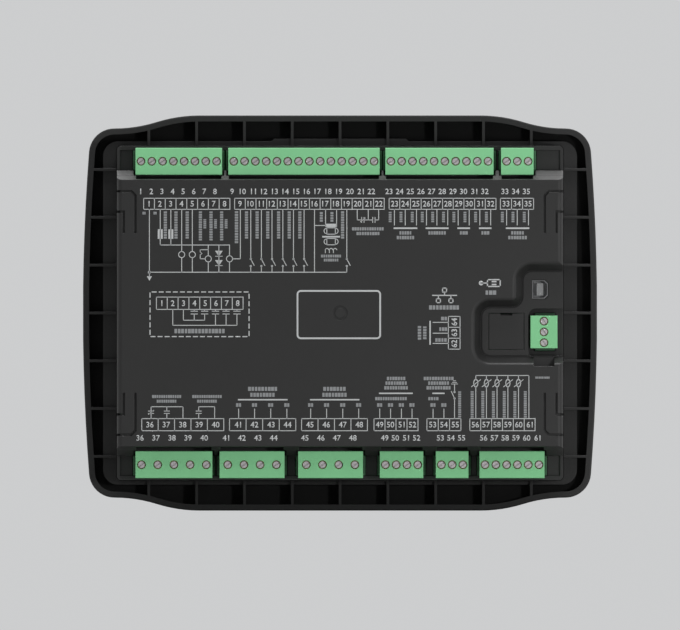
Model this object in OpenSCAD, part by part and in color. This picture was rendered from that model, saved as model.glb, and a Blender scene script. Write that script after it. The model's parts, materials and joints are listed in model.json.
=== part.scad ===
// Genset controller for a panel cut-out: a ribbed bezel with a display and keys, and a moulded rear
// housing with two rows of pluggable terminals and a pocket for the communication sockets.
// Each piece is drawn as seen from behind: x across, y up, z towards the rear, z = 0 at the panel seat.
// It is then stood upright with its display facing forwards.

/* [Terminals] */
// Pitch of the signal terminals
signal_pitch = 5.08; // [5:0.02:5.4]
// Distance from the last signal screw to the end of its plug
signal_end = 2.6; // [2.5:0.05:3.2]
// Pitch of the power terminals
power_pitch = 7.62; // [7.5:0.02:8]
// Distance from the last power screw to the end of its plug
power_end = 3.85; // [2.8:0.05:4.2]
// Same distance on the five-way output plug
output_end = 2.85; // [2.7:0.05:4]
// Height of a plug above its header
plug_h = 11.5; // [11:0.5:13]
// Distance from the screws to the wire side of a plug
plug_front = 6.3; // [5.5:0.1:7]
// Distance from the screws to the plate side of a plug
plug_back = 6.4; // [6:0.1:8]
// Depth of the plug's tail, measured across the row
tail_d = 7; // [6:0.1:8]
// Distance from the screws to the middle of the header
screw_shift = 0.4; // [0:0.1:0.8]
// Diameter of a terminal screw's well
well_dia = 4.1; // [3.6:0.1:4.3]
// Diameter of a terminal screw's head
screw_dia = 3.2; // [2.8:0.1:3.4]
// How far a screw's head lies below the plug's face
screw_sink = 1.1; // [0.6:0.1:2]
// Width and height of a wire entry
wire_entry = 3.2; // [2.8:0.1:3.4]
// Height of a header above the main board
header_h = 13; // [12:0.5:15]
// Wall of a header
header_wall = 0.9; // [0.8:0.1:1.2]
// Floor of a header
header_floor = 2.5; // [2:0.1:3]
// Side of a square contact pin
pin_side = 1; // [0.8:0.1:1.2]

/* [Housing] */
// Distance from the end of the longer terminal row to the side of the housing
row_margin = 8.75; // [8.5:0.25:16]
// Height of the flat back plate
plate_h = 125.4; // [123:0.2:150]
// Run of the chamfer along the back plate
chamfer_run = 1.9; // [1:0.1:3]
// Fall of the chamfer along the back plate
chamfer_fall = 3.6; // [2:0.1:5]
// Width of the fine step below the chamfer
step_run = 0.15; // [0.1:0.05:0.5]
// Height of the fine step below the chamfer
step_fall = 0.6; // [0.3:0.1:1]
// Run of the slope down to the terminal recess
slope_run = 2.25; // [1:0.05:4]
// Fall of the slope above the recess
slope_fall = 4.3; // [2:0.1:8]
// Rise of the back plate above the recess floor
plate_rise = 17; // [15:0.5:20]
// Thickness of the curb on the wire side of a recess
curb_t = 2.1; // [1.6:0.1:3]
// Height of the curb above the recess floor
curb_h = 1.5; // [0.5:0.1:1.8]
// Thickness of the curb at the ends of a recess
end_curb_t = 1.5; // [1:0.1:2.5]
// Wall thickness of the housing
housing_wall = 2.5; // [2:0.1:3]
// Corner radius of the housing
housing_r = 2; // [1:0.1:3]
// Rounding along the side edges of the back plate
edge_round = 2.4; // [0.6:0.1:3]
// Room behind each plug, where the slope is notched
notch_gap = 1.9; // [1:0.1:2.2]
// How deep the housing's foot sits in the bezel
foot_depth = 3.5; // [2.5:0.1:4.5]

/* [Socket pocket] */
// Depth of the pocket below the back plate
pocket_depth = 6; // [5:0.5:7]
// Run of the pocket's sloped border, up to its sharp edge
pocket_slope = 3.2; // [2.5:0.1:3.3]
// Rounding of the pocket's border where it meets the back plate
pocket_round = 2; // [0.5:0.1:2]
// Corner radius of the pocket's floor
pocket_r = 4.7; // [4.6:0.1:6]
// Width of the pocket's floor beside the network cover
pocket_w = 38.9; // [38.5:0.1:44]
// Width of the pocket's floor beside the service socket
bay_w = 19.5; // [18:0.1:20]
// Height of the pocket's floor above the middle
pocket_top = 20.1; // [19:0.1:24]
// Height above the middle where the pocket widens
pocket_step = 3.1; // [2.5:0.1:3.6]
// Depth of the pocket's floor below the middle
pocket_foot = 20.7; // [20.5:0.1:24]
// Width of the deeper bay around the serial plug
well_w = 16.3; // [16:0.1:16.6]
// Height of the deeper bay
well_h = 21.9; // [20:0.1:22.4]
// Height of the serial plug's middle screw below the middle
serial_drop = 8.9; // [8.5:0.1:9.2]
// Distance from the serial screws to the side of the housing
serial_in = 9; // [8.6:0.1:9.4]
// Width of the network cover
cover_w = 16.4; // [15:0.1:16.8]
// Height of the network cover
cover_h = 17; // [16:0.1:18]
// Distance from the network cover to the pocket's far wall
cover_in = 4; // [3.5:0.1:5]
// Inner width of the service socket
service_w = 6.6; // [6.2:0.1:8]
// Inner height of the service socket
service_h = 7.8; // [7.4:0.1:9]
// Depth of the service socket's mouth
service_depth = 5; // [4:0.5:8]

/* [Bezel] */
// Depth from the panel seat to the front face
bezel_depth = 13; // [12:0.5:16]
// Thickness of the front wall
front_wall = 3; // [2.6:0.1:3.6]
// Width of the ledge at the housing's sides
ledge_side = 6.5; // [5:0.1:9]
// Width of the ledge above and below the housing
ledge_top = 2.1; // [1.5:0.1:4]
// Corner radius of the ledge
ledge_r = 7; // [4:0.5:9]
// How far the ledge lies in front of the panel seat
ledge_drop = 2.5; // [1.5:0.1:3.5]
// Height of the raised middle of the top ledge
ledge_bump = 1.2; // [0.5:0.1:2]
// Width of the raised middle of the top ledge
bump_w = 62; // [40:1:90]
// Width of the channel at the sides
channel_side = 6.6; // [5:0.1:10]
// Width of the channel at the crown
channel_top = 9.3; // [8.5:0.1:12]
// Width of the rim that seats on the panel
rim_wall = 2.9; // [2:0.1:3.5]
// Rounding of the rim's outer edge
rim_round = 0.6; // [0.5:0.1:1.5]
// Rounding of the front edge
front_round = 4.5; // [2:0.5:6]
// Corner radius of the outline
bezel_r = 12; // [10:0.5:14]
// Radius of the bowed sides
side_bow_r = 1000; // [700:50:3000]
// How far the shoulders lie below the crown
shoulder_drop = 6.1; // [4:0.1:7]
// Run of the curve from the crown down to the corner
shoulder_run = 40; // [30:1:44]
// Thickness of a rib
rib_t = 1.25; // [0.8:0.05:2]
// Pitch of the ribs
rib_pitch = 22.5; // [20:0.5:23]

/* [Front] */
// Width of the fascia
fascia_w = 216; // [208:1:220]
// Height of the fascia
fascia_h = 160; // [154:1:162]
// Thickness of the fascia
fascia_t = 0.5; // [0.3:0.1:0.8]
// Width of the display's viewing area
view_w = 96; // [80:1:98]
// Height of the display's viewing area
view_h = 56; // [45:1:58]
// Width of the display module's frame
lcd_w = 106; // [104:1:110]
// Height of the display module's frame
lcd_h = 68; // [66:1:72]
// Height of the display's middle above the middle of the front
lcd_up = 18; // [14:1:22]
// Distance of the display's middle from the middle of the front
lcd_aside = 14; // [10:1:18]
// Pitch of the keys in the lower row
key_pitch = 24; // [20:0.5:25]
// Depth of the lower row below the middle of the front
key_row_drop = 48; // [46:1:54]
// Diameter of a round key
key_dia = 14.4; // [12:0.2:16]
// Width of a menu key
menu_key_w = 18; // [14:0.5:22]
// Height of a menu key
menu_key_h = 11; // [9:0.5:12]
// Pitch of the menu keys
menu_pitch = 17; // [16:0.5:18]
// Distance of the menu keys from the middle of the front
menu_aside = 64; // [62:1:72]
// How far a key stands out of the front face
key_proud = 1.8; // [1.2:0.1:2.5]
// How far a key travels
key_travel = 1; // [0.5:0.1:1.2]

/* [Boards] */
// Thickness of both circuit boards
board_t = 1.6; // [1.2:0.1:2]
// Room between the front wall and the display board
display_room = 8; // [7.6:0.1:10]
// Height of the link between the boards
link_h = 10.8; // [9.5:0.1:14]
// Radius of the boards' screws
screw_r = 1.5; // [1.2:0.05:1.6]

/* [Hidden] */
$fn = 48;

// Clearances
plug_fit = 0.2;
header_gap = 0.2;
housing_fit = 0.15;
board_gap = 2.3;
key_gap = 0.35;
flange_gap = 0.3;
screw_gap = 0.05;
clamp_gap = 0.2;
thread_gap = 0.1;
pin_gap = 0.1;
cover_gap = 0.2;
jack_gap = 0.3;
stem_gap = 0.6;
small = 0.1;
past = 1;

// Gaps before the plugs of each row
top_gaps = [0, 2.9, 2.7, 3.5];
bottom_gaps = [0, 3.4, 6.4, 7.9, 5.9, 5.2];

// Terminal rows: ways, pitch, end distance and the gap before each plug
top_row = [
    [8, signal_pitch, signal_end, top_gaps[0]],
    [14, signal_pitch, signal_end, top_gaps[1]],
    [10, signal_pitch, signal_end, top_gaps[2]],
    [3, signal_pitch, signal_end, top_gaps[3]]
];
bottom_row = [
    [5, power_pitch, output_end, bottom_gaps[0]],
    [4, power_pitch, power_end, bottom_gaps[1]],
    [4, power_pitch, power_end, bottom_gaps[2]],
    [4, signal_pitch, signal_end, bottom_gaps[3]],
    [3, signal_pitch, signal_end, bottom_gaps[4]],
    [6, signal_pitch, signal_end, bottom_gaps[5]]
];
serial_plug = [3, signal_pitch, signal_end, 0];

function plug_len(p) = (p[0] - 1) * p[1] + 2 * p[2];
function row_end(row, i) = i < 0 ? 0 : row_end(row, i - 1) + row[i][3] + plug_len(row[i]);
row_len = max(row_end(top_row, len(top_row) - 1), row_end(bottom_row, len(bottom_row) - 1));
function plug_mid(row, i) = row_end(row, i) - plug_len(row[i]) / 2 - row_len / 2;

// Levels from the front face to the back plate
front_z = -bezel_depth;
inner_z = front_z + front_wall;
ledge_z = -ledge_drop;
foot_z = ledge_z - foot_depth;
fascia_z = front_z + fascia_t + small;
display_z = inner_z + display_room;
display_back = display_z + board_t;
board_z = display_back + link_h;
board_back = board_z + board_t;
header_top = board_back + header_h;
header_proud = 2;
floor_z = header_top - header_proud;
curb_z = floor_z + curb_h;
plug_top = header_top + plug_h;
plate_z = floor_z + plate_rise;
under_plate = plate_z - housing_wall;
pocket_z = plate_z - pocket_depth;

// Border of the pocket: a slope that rounds into the back plate, as rings of height and growth
border_steps = 5;
border_turn = atan2(pocket_depth, pocket_slope);
border_w = pocket_slope + pocket_round * tan(border_turn / 2);
border_rings = concat(
    [[pocket_z, 0]],
    [for (i = [border_steps:-1:0]) let (a = border_turn * i / border_steps)
        [plate_z - pocket_round * (1 - cos(a)), border_w - pocket_round * sin(a)]],
    [[plate_z + 2 * past, border_w]]
);

// Housing in plan
header_d = tail_d + 2 * (header_wall + plug_fit);
recess_d = header_d + 2 * header_gap;
recess_in = plate_h / 2 + chamfer_run + step_run + slope_run;
recess_out = recess_in + recess_d;
row_y = recess_in + recess_d / 2 - screw_shift;
notch_in = row_y - plug_back - notch_gap;
housing_w = row_len + 2 * row_margin;
housing_h = 2 * (recess_out + curb_t);
half_w = housing_w / 2;
room_w = housing_w - 2 * housing_wall;
room_h = housing_h - 2 * housing_wall;
upper_room_h = 2 * (notch_in - housing_wall);

// Bezel in plan
ledge_w = housing_w + 2 * ledge_side;
ledge_h = housing_h + 2 * ledge_top;
bezel_w = ledge_w + 2 * (channel_side + rim_wall);
bezel_h = ledge_h + 2 * (channel_top + rim_wall);
shoulder_y = bezel_h / 2 - shoulder_drop;
cavity_step = 4;
pocket_steps = 10;
cavity_w = housing_w - 2 * cavity_step;
cavity_h = housing_h - 2 * cavity_step;
side_centre = bezel_w / 2 - side_bow_r;
corner_y = shoulder_y - bezel_r;
corner_x = side_centre + sqrt(pow(side_bow_r - bezel_r, 2) - pow(corner_y, 2));
side_turn = atan2(corner_y, corner_x - side_centre);
bend_r = (pow(shoulder_run, 2) + pow(shoulder_drop, 2)) / (4 * shoulder_drop);
bend_turn = asin(shoulder_run / (2 * bend_r));
crown_edge = corner_x - shoulder_run;

// Fixings
boss_r = 3.7;
boss_in = 0.5;
boss_x = half_w - housing_wall - boss_r + boss_in;
boss_y = housing_h / 2 - housing_wall - boss_r + boss_in;
boss_step = 1.8;
boss_joint_z = foot_z + boss_step;
pillar_r = boss_r - boss_in - housing_fit;
post_r = 3.2;
post_in = [11, 15];
post_x = cavity_w / 2 - post_in.x;
post_y = cavity_h / 2 - post_in.y;
board_boss_in = [17, 12.7];
board_boss_x = half_w - board_boss_in.x;
board_boss_y = plate_h / 2 - board_boss_in.y;
head_r = 2.75;
head_t = 2;
screw_reach = 8;
boss_end = 2;

// Boards
board_w = room_w - 2 * board_gap;
board_h = room_h - 2 * board_gap;
display_in = 8;
display_w = cavity_w - 2 * display_in;
display_h = cavity_h - 2 * display_in;

// Keys, all placed as seen from behind
key_z = front_z - key_proud;
flange_z = inner_z + flange_gap;
flange_t = 1.2;
flange_lip = 1.5;
switch_side = 6;
switch_h = 4;
switch_top = display_z - switch_h;
switch_well_r = 1.9;
stem_r = 1.5;
stem_in = 1;
stem_z = switch_top + stem_in;
key_count = 8;
menu_count = 4;
menu_key_r = 3;
function key_at(i) = [-(i - (key_count - 1) / 2) * key_pitch, -key_row_drop];
function menu_at(i) = [-menu_aside, lcd_up + ((menu_count - 1) / 2 - i) * menu_pitch];

// Lens and lamps
lens_edge = 2;
lamp_r = 1.5;
lamp_rise = 14;
lamp_spots = [
    key_at(1) + [0, lamp_rise],
    key_at(2) + [0, lamp_rise],
    key_at(3) + [0, lamp_rise],
    key_at(5) + [0, lamp_rise],
    key_at(6) + [0, lamp_rise],
    [key_at(0).x, lcd_up + lamp_rise / 2],
    [key_at(0).x, lcd_up - lamp_rise / 2]
];

// Socket places
serial_x = half_w - serial_in;
serial_y = -serial_drop;
cover_up = 3.5;
cover_x = half_w - pocket_w + cover_in + cover_w / 2;
cover_y = -pocket_foot + cover_up + cover_h / 2;
service_aside = 5.3;
service_down = 5.1;
service_x = half_w - bay_w + service_aside + service_w / 2;
service_y = pocket_top - service_down - service_h / 2;
service_wall = 0.4;
service_cut = 1.5;
service_sink = 0.1;
jack_inset = 0.4;
jack_top = pocket_z - housing_wall - jack_gap;

// General shapes

module stand() {
    rotate([90, 0, 180]) children();
}

module layer(z0, z1) {
    translate([0, 0, z0]) linear_extrude(z1 - z0) children();
}

module block(from, to) {
    translate(from) cube(to - from);
}

module four_corners(x, y) {
    for (sx = [-1, 1], sy = [-1, 1]) translate([sx * x, sy * y, 0]) children();
}

function arc_pts(centre, r, a0, a1, steps, first = 0) =
    [for (i = [first:steps]) let (a = a0 + (a1 - a0) * i / steps) centre + r * [cos(a), sin(a)]];

function round_pts(w, h, r) = concat(
    arc_pts([w / 2 - r, h / 2 - r], r, 0, 90, 8),
    arc_pts([r - w / 2, h / 2 - r], r, 90, 180, 8),
    arc_pts([r - w / 2, r - h / 2], r, 180, 270, 8),
    arc_pts([w / 2 - r, r - h / 2], r, 270, 360, 8)
);

module round_rect(w, h, r) {
    polygon(round_pts(w, h, r));
}

// A solid through rings, each a height and its outline, closed at both ends round a middle point
module loft(rings, middle) {
    count = len(rings[0][1]);
    last = len(rings) - 1;
    pts = concat(
        [for (ring = rings) for (p = ring[1]) [p.x, p.y, ring[0]]],
        [[middle.x, middle.y, rings[0][0]], [middle.x, middle.y, rings[last][0]]]
    );
    low_mid = len(pts) - 2;
    high_mid = len(pts) - 1;
    polyhedron(pts, concat(
        [for (k = [0:last - 1], i = [0:count - 1]) let (j = (i + 1) % count)
            [k * count + i, (k + 1) * count + j, k * count + j]],
        [for (k = [0:last - 1], i = [0:count - 1]) let (j = (i + 1) % count)
            [k * count + i, (k + 1) * count + i, (k + 1) * count + j]],
        [for (i = [0:count - 1]) [i, (i + 1) % count, low_mid]],
        [for (i = [0:count - 1]) [last * count + (i + 1) % count, last * count + i, high_mid]]
    ));
}

// Bezel outline: bowed sides, round corners, and a crown that falls to the corners in two bends.
// Every arc is drawn parallel to itself when the outline is set in.
side_steps = 6;
corner_steps = 10;
bend_steps = 6;

function bezel_quarter(inset) = concat(
    arc_pts([side_centre, 0], side_bow_r - inset, 0, side_turn, side_steps, 1),
    arc_pts([corner_x, corner_y], bezel_r - inset, side_turn, 90, corner_steps, 1),
    arc_pts([corner_x, shoulder_y + bend_r], bend_r + inset, 270, 270 - bend_turn, bend_steps, 1),
    arc_pts([crown_edge, bezel_h / 2 - bend_r], bend_r - inset, 90 - bend_turn, 90, bend_steps, 1)
);

function flip(pts, sx, sy) = [for (i = [len(pts) - 1:-1:0]) [sx * pts[i].x, sy * pts[i].y]];

function turn(pts) = [for (p = pts) -p];

function bezel_pts(inset) = let (q = bezel_quarter(inset)) concat(
    q, flip(q, -1, 1), turn(q), flip(q, 1, -1)
);

module bezel_outline(inset) {
    polygon(bezel_pts(inset));
}

// Rings of the rounded envelope, from the front face to the panel seat
envelope_rings = concat(
    [[front_z - past, front_round]],
    [for (a = [90:-22.5:0]) [front_z + front_round * (1 - sin(a)), front_round * (1 - cos(a))]],
    [for (a = [0:30:90]) [rim_round * (sin(a) - 1), rim_round * (1 - cos(a))]],
    [[past, rim_round]]
);

module bezel_envelope() {
    loft([for (ring = envelope_rings) [ring[0], bezel_pts(ring[1])]], [0, 0]);
}

module rib_lines() {
    across = floor(corner_x / rib_pitch);
    up = floor(corner_y / rib_pitch);
    for (i = [-across:across], s = [-1, 1])
        translate([i * rib_pitch - rib_t / 2, s > 0 ? 0 : -bezel_h / 2]) square([rib_t, bezel_h / 2]);
    for (i = [-up:up], s = [-1, 1])
        translate([s > 0 ? 0 : -bezel_w / 2, i * rib_pitch - rib_t / 2]) square([bezel_w / 2, rib_t]);
}

module seat_plan() {
    difference() {
        bezel_outline(-past);
        bezel_outline(rim_wall);
    }
    intersection() {
        bezel_outline(rim_wall / 2);
        difference() {
            rib_lines();
            square([housing_w, housing_h], center = true);
        }
    }
}

module ledge_plan() {
    round_rect(ledge_w, ledge_h, ledge_r);
    translate([0, ledge_h / 2]) polygon([
        [-bump_w / 2 - ledge_bump, -past],
        [bump_w / 2 + ledge_bump, -past],
        [bump_w / 2 + ledge_bump, 0],
        [bump_w / 2, ledge_bump],
        [-bump_w / 2, ledge_bump],
        [-bump_w / 2 - ledge_bump, 0]
    ]);
}

module bezel_body() {
    difference() {
        union() {
            layer(front_z, inner_z) bezel_outline(-past);
            layer(inner_z - past, 0) seat_plan();
            layer(inner_z - past, ledge_z) ledge_plan();
        }
        layer(inner_z, past) round_rect(cavity_w, cavity_h, housing_r);
        layer(foot_z, past) round_rect(
            housing_w + 2 * housing_fit, housing_h + 2 * housing_fit, housing_r + housing_fit);
        layer(front_z - past, fascia_z) round_rect(fascia_w, fascia_h, bezel_r - front_round);
    }
    four_corners(post_x, post_y) layer(inner_z - past, display_z) circle(post_r);
    four_corners(boss_x, boss_y) layer(inner_z - past, boss_joint_z) circle(pillar_r);
}

module front_openings() {
    translate([lcd_aside, lcd_up])
        square([view_w + 2 * lens_edge, view_h + 2 * lens_edge], center = true);
    for (i = [0:key_count - 1]) translate(key_at(i)) circle(key_dia / 2 + key_gap);
    for (i = [0:menu_count - 1]) translate(menu_at(i))
        round_rect(menu_key_w + 2 * key_gap, menu_key_h + 2 * key_gap, menu_key_r + key_gap);
    for (spot = lamp_spots) translate(spot) circle(lamp_r + screw_gap);
}

module front_bezel() {
    color("#2a2a2c") stand() difference() {
        intersection() {
            bezel_body();
            bezel_envelope();
        }
        layer(front_z - past, inner_z + small) front_openings();
        four_corners(post_x, post_y) layer(display_z - screw_reach + past, display_z + past)
            circle(screw_r + screw_gap);
        four_corners(boss_x, boss_y) {
            layer(front_z - past, boss_joint_z + past) circle(screw_r + 2 * screw_gap);
            layer(front_z - past, inner_z) circle(head_r + 2 * screw_gap);
        }
    }
}

// Front

module fascia_overlay() {
    color("#3a4046") stand() layer(fascia_z - fascia_t, fascia_z) difference() {
        round_rect(fascia_w - 2 * cover_gap, fascia_h - 2 * cover_gap, bezel_r - front_round - cover_gap);
        translate([lcd_aside, lcd_up]) square([view_w, view_h], center = true);
        for (i = [0:key_count - 1]) translate(key_at(i)) circle(key_dia / 2 + key_gap);
        for (i = [0:menu_count - 1]) translate(menu_at(i))
            round_rect(menu_key_w + 2 * key_gap, menu_key_h + 2 * key_gap, menu_key_r + key_gap);
        for (spot = lamp_spots) translate(spot) circle(lamp_r + screw_gap);
    }
}

module display_lens() {
    corner = 1;
    color("#9fb4bd", 0.5) stand() translate([lcd_aside, lcd_up, 0]) layer(fascia_z, inner_z - small)
        round_rect(view_w + 2 * (lens_edge - cover_gap), view_h + 2 * (lens_edge - cover_gap), corner);
}

module lcd_module() {
    rim = 3;
    corner = 1;
    glass_in = 1.2;
    glass_z = inner_z + glass_in;
    color("#1c2a33") stand() translate([lcd_aside, lcd_up, 0]) {
        layer(glass_z, display_z) round_rect(lcd_w, lcd_h, corner);
        layer(inner_z + small, glass_z) difference() {
            round_rect(lcd_w, lcd_h, corner);
            square([view_w + rim, view_h + rim], center = true);
        }
    }
}

module display_board() {
    corner = 2;
    color("#1f5a35") stand() layer(display_z, display_back) difference() {
        round_rect(display_w, display_h, corner);
        four_corners(post_x, post_y) circle(screw_r + 2 * screw_gap);
    }
}

module pan_screw(seat_z, reach, side) {
    drive_r = 0.9;
    drive_d = 0.8;
    point = 0.5;
    flat_r = head_r - 0.7;
    side_h = head_t - 0.8;
    translate([0, 0, seat_z]) mirror([0, 0, side > 0 ? 0 : 1]) rotate_extrude() polygon([
        [0, head_t - drive_d],
        [drive_r, head_t],
        [flat_r, head_t],
        [head_r, side_h],
        [head_r, 0],
        [screw_r, 0],
        [screw_r, point - reach],
        [screw_r - point, -reach],
        [0, -reach]
    ]);
}

module display_screws() {
    color("silver") stand() four_corners(post_x, post_y)
        pan_screw(display_back, board_t + screw_reach - 2 * past, 1);
}

module round_key(i) {
    cap_r = key_dia / 2;
    flange_r = cap_r + flange_lip;
    dish = 0.35;
    dish_edge = 0.25;
    edge = 1;
    stand() translate(concat(key_at(i), 0)) rotate_extrude() polygon(concat(
        [[0, key_z + dish], [cap_r / 2, key_z + dish_edge]],
        arc_pts([cap_r - edge, key_z + edge], edge, 270, 360, 4),
        [
            [cap_r, flange_z], [flange_r, flange_z], [flange_r, flange_z + flange_t],
            [stem_r, flange_z + flange_t], [stem_r, stem_z], [0, stem_z]
        ]
    ));
}

module menu_key(i) {
    edge = 1;
    edge_fall = 0.7;
    stand() translate(concat(menu_at(i), 0)) {
        hull() {
            layer(key_z, key_z + small)
                round_rect(menu_key_w - 2 * edge, menu_key_h - 2 * edge, menu_key_r - edge);
            layer(key_z + edge_fall, flange_z) round_rect(menu_key_w, menu_key_h, menu_key_r);
        }
        layer(flange_z, flange_z + flange_t)
            round_rect(menu_key_w + 2 * flange_lip, menu_key_h + 2 * flange_lip, menu_key_r + flange_lip);
        layer(flange_z + small, stem_z) circle(stem_r);
    }
}

module stop_key() {
    color("#b3261e") round_key(0);
}

module manual_key() {
    color("#5b6168") round_key(1);
}

module test_key() {
    color("#5b6168") round_key(2);
}

module auto_key() {
    color("#5b6168") round_key(3);
}

module mute_key() {
    color("#5b6168") round_key(4);
}

module generator_key() {
    color("#5b6168") round_key(5);
}

module mains_key() {
    color("#5b6168") round_key(6);
}

module start_key() {
    color("#2e8b45") round_key(7);
}

module up_key() {
    color("#5b6168") menu_key(0);
}

module down_key() {
    color("#5b6168") menu_key(1);
}

module enter_key() {
    color("#5b6168") menu_key(2);
}

module exit_key() {
    color("#5b6168") menu_key(3);
}

module key_switch() {
    difference() {
        layer(switch_top, display_z) square(switch_side, center = true);
        layer(switch_top - past, stem_z + key_travel + stem_gap) circle(switch_well_r);
    }
}

module key_switches() {
    color("#202020") stand() {
        for (i = [0:key_count - 1]) translate(key_at(i)) key_switch();
        for (i = [0:menu_count - 1]) translate(menu_at(i)) key_switch();
    }
}

module status_lamps() {
    collar = 0.8;
    color("#e8eadf") stand() for (spot = lamp_spots) translate(spot) {
        layer(fascia_z - fascia_t, display_z) circle(lamp_r);
        layer(inner_z + small, inner_z + past) circle(lamp_r + collar);
    }
}

// Rear housing

module across(len) {
    translate([-len / 2, 0, 0]) rotate([90, 0, 90]) linear_extrude(len) children();
}

module raised_profile() {
    half = plate_h / 2;
    step_z = plate_z - chamfer_fall;
    rise = [
        [recess_in, floor_z - past],
        [recess_in, step_z - step_fall - slope_fall],
        [half + chamfer_run + step_run, step_z - step_fall],
        [half + chamfer_run, step_z - step_fall],
        [half + chamfer_run, step_z],
        [half, plate_z]
    ];
    polygon(concat(rise, [for (i = [len(rise) - 1:-1:0]) [-rise[i].x, rise[i].y]]));
}

module housing_shell() {
    difference() {
        union() {
            layer(foot_z, curb_z) round_rect(housing_w, housing_h, housing_r);
            across(housing_w) raised_profile();
        }
        layer(foot_z - past, floor_z - housing_wall) round_rect(room_w, room_h, housing_r / 2);
        layer(foot_z, under_plate) square([room_w, upper_room_h], center = true);
        for (s = [-1, 1]) translate([0, s * (recess_in + recess_d / 2), 0])
            layer(floor_z, plate_z) square([housing_w - 2 * end_curb_t, recess_d], center = true);
    }
}

// A place on the top row, the bottom row or the serial bay, with the wire side along +y
module at_top(i) {
    translate([plug_mid(top_row, i), row_y, 0]) children();
}

module at_bottom(i) {
    translate([plug_mid(bottom_row, i), -row_y, 0]) rotate([0, 0, 180]) children();
}

module at_serial() {
    translate([serial_x, serial_y, 0]) rotate([0, 0, -90]) children();
}

module header_window(p) {
    len = plug_len(p) + 2 * (header_wall + plug_fit + header_gap);
    translate([0, screw_shift, 0]) layer(board_z - past, header_top + small)
        square([len, recess_d], center = true);
}

// Room behind a plug: wider than it through the slope, and just within its ends through the chamfer
module plug_notch(p) {
    side = 0.85;
    lap = 0.35;
    half = plug_len(p) / 2;
    edge = plate_h / 2 + chamfer_run - row_y;
    block([-half - side, edge, floor_z], [half + side, 0, plate_z + past]);
    block([lap - half, -plug_back - notch_gap, floor_z], [half - lap, edge + small, plate_z + past]);
}

// Outline of one bay of the pocket, open towards the side of the housing
function bay_pts(w, top, grow) = let (
    r = pocket_r + grow,
    x = half_w - w - grow + r,
    far = half_w + 2 * pocket_r
) concat(
    arc_pts([x, top + grow - r], r, 90, 180, pocket_steps),
    arc_pts([x, r - pocket_foot - grow], r, 180, 270, pocket_steps),
    [[far, -pocket_foot - grow], [far, top + grow]]
);

module pocket_plan(grow) {
    polygon(bay_pts(pocket_w, pocket_step, grow));
    polygon(bay_pts(bay_w, pocket_top, grow));
    difference() {
        translate([half_w - bay_w - pocket_r, pocket_step - past]) square([pocket_r - grow, pocket_r + past]);
        translate([half_w - bay_w - pocket_r, pocket_step + pocket_r]) circle(pocket_r - grow);
    }
}

module sloped_bay(w, top) {
    loft([for (ring = border_rings) [ring[0], bay_pts(w, top, ring[1])]], [half_w, (top - pocket_foot) / 2]);
}

// Rounds the corner of the plate where the two bays of the pocket meet
module pocket_corner() {
    x = half_w - bay_w - pocket_r;
    y = pocket_step + pocket_r;
    difference() {
        block([x, pocket_step - past, pocket_z], [half_w - bay_w + past, y, plate_z + past]);
        translate([x, y, 0]) rotate_extrude() polygon(concat(
            [[0, pocket_z - past], [pocket_r, pocket_z - past]],
            [for (ring = border_rings) [pocket_r - ring[1], ring[0]]],
            [[0, plate_z + 2 * past]]
        ));
    }
}

module pocket_walls() {
    wall = housing_wall;
    well_wall = 2;
    edge = border_w + wall;
    in_x = room_w / 2 + small;
    block(
        [half_w - pocket_w - edge, -pocket_foot - edge, pocket_z - wall],
        [in_x, pocket_step + edge, under_plate + small]
    );
    block(
        [half_w - bay_w - edge, 0, pocket_z - wall],
        [in_x, pocket_top + edge, under_plate + small]
    );
    block(
        [half_w - well_w - well_wall, serial_y - well_h / 2 - well_wall, floor_z - wall],
        [in_x, serial_y + well_h / 2 + well_wall, pocket_z]
    );
}

module pocket_cuts() {
    well_r = 3.5;
    finger_w = 9.7;
    groove = 0.7;
    groove_deep = 0.8;
    sloped_bay(pocket_w, pocket_step);
    sloped_bay(bay_w, pocket_top);
    pocket_corner();
    layer(pocket_z - groove_deep, pocket_z + small) difference() {
        pocket_plan(0);
        pocket_plan(-groove);
    }
    translate([half_w - well_w, serial_y - well_h / 2, 0]) layer(floor_z, plate_z) polygon(concat(
        [[0, 0], [well_w + past, 0], [well_w + past, well_h]],
        arc_pts([well_r, well_h - well_r], well_r, 90, 180, 6)
    ));
    block(
        [serial_x - finger_w / 2, -pocket_foot - border_w, pocket_z],
        [serial_x + finger_w / 2, -pocket_foot + past, plate_z + past]
    );
    translate([cover_x, cover_y, 0]) layer(jack_top, plate_z)
        square([cover_w + 2 * cover_gap, cover_h + 2 * cover_gap], center = true);
    translate([service_x, service_y, 0]) layer(pocket_z - housing_wall - past, pocket_z + past)
        service_plan(service_wall + cover_gap);
    at_serial() header_window(serial_plug);
}

// Angled grooves beside the fixing clips, and their tracks down the side walls
clip_high = 5.4;
clip_low = 15;
clip_end = 25.1;
clip_far = 8.7;
clip_near = 3.2;
clip_turn = 1.7;
groove_w = 1.1;
groove_d = 1.6;
track_z = 8;

module clip_grooves() {
    g = groove_w / 2;
    top = plate_h / 2;
    high = top - clip_high;
    low = top - clip_low;
    end = top - clip_end;
    far = half_w - clip_far;
    near = half_w - clip_near;
    layer(plate_z - groove_d, plate_z + past) {
        polygon([
            [half_w + past, high + g], [far + clip_turn, high + g], [far - g, high - clip_turn],
            [far - g, end], [far + g, end], [far + g, high - clip_turn - g],
            [far + clip_turn + g, high - g], [half_w + past, high - g]
        ]);
        polygon([
            [half_w + past, low + g], [near - g, low + g], [near - g, end], [near + g, end],
            [near + g, low - g], [half_w + past, low - g]
        ]);
    }
    for (y = [high, low]) block(
        [half_w - groove_d, y - g, track_z],
        [half_w + past, y + g, plate_z + past]
    );
}

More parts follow.
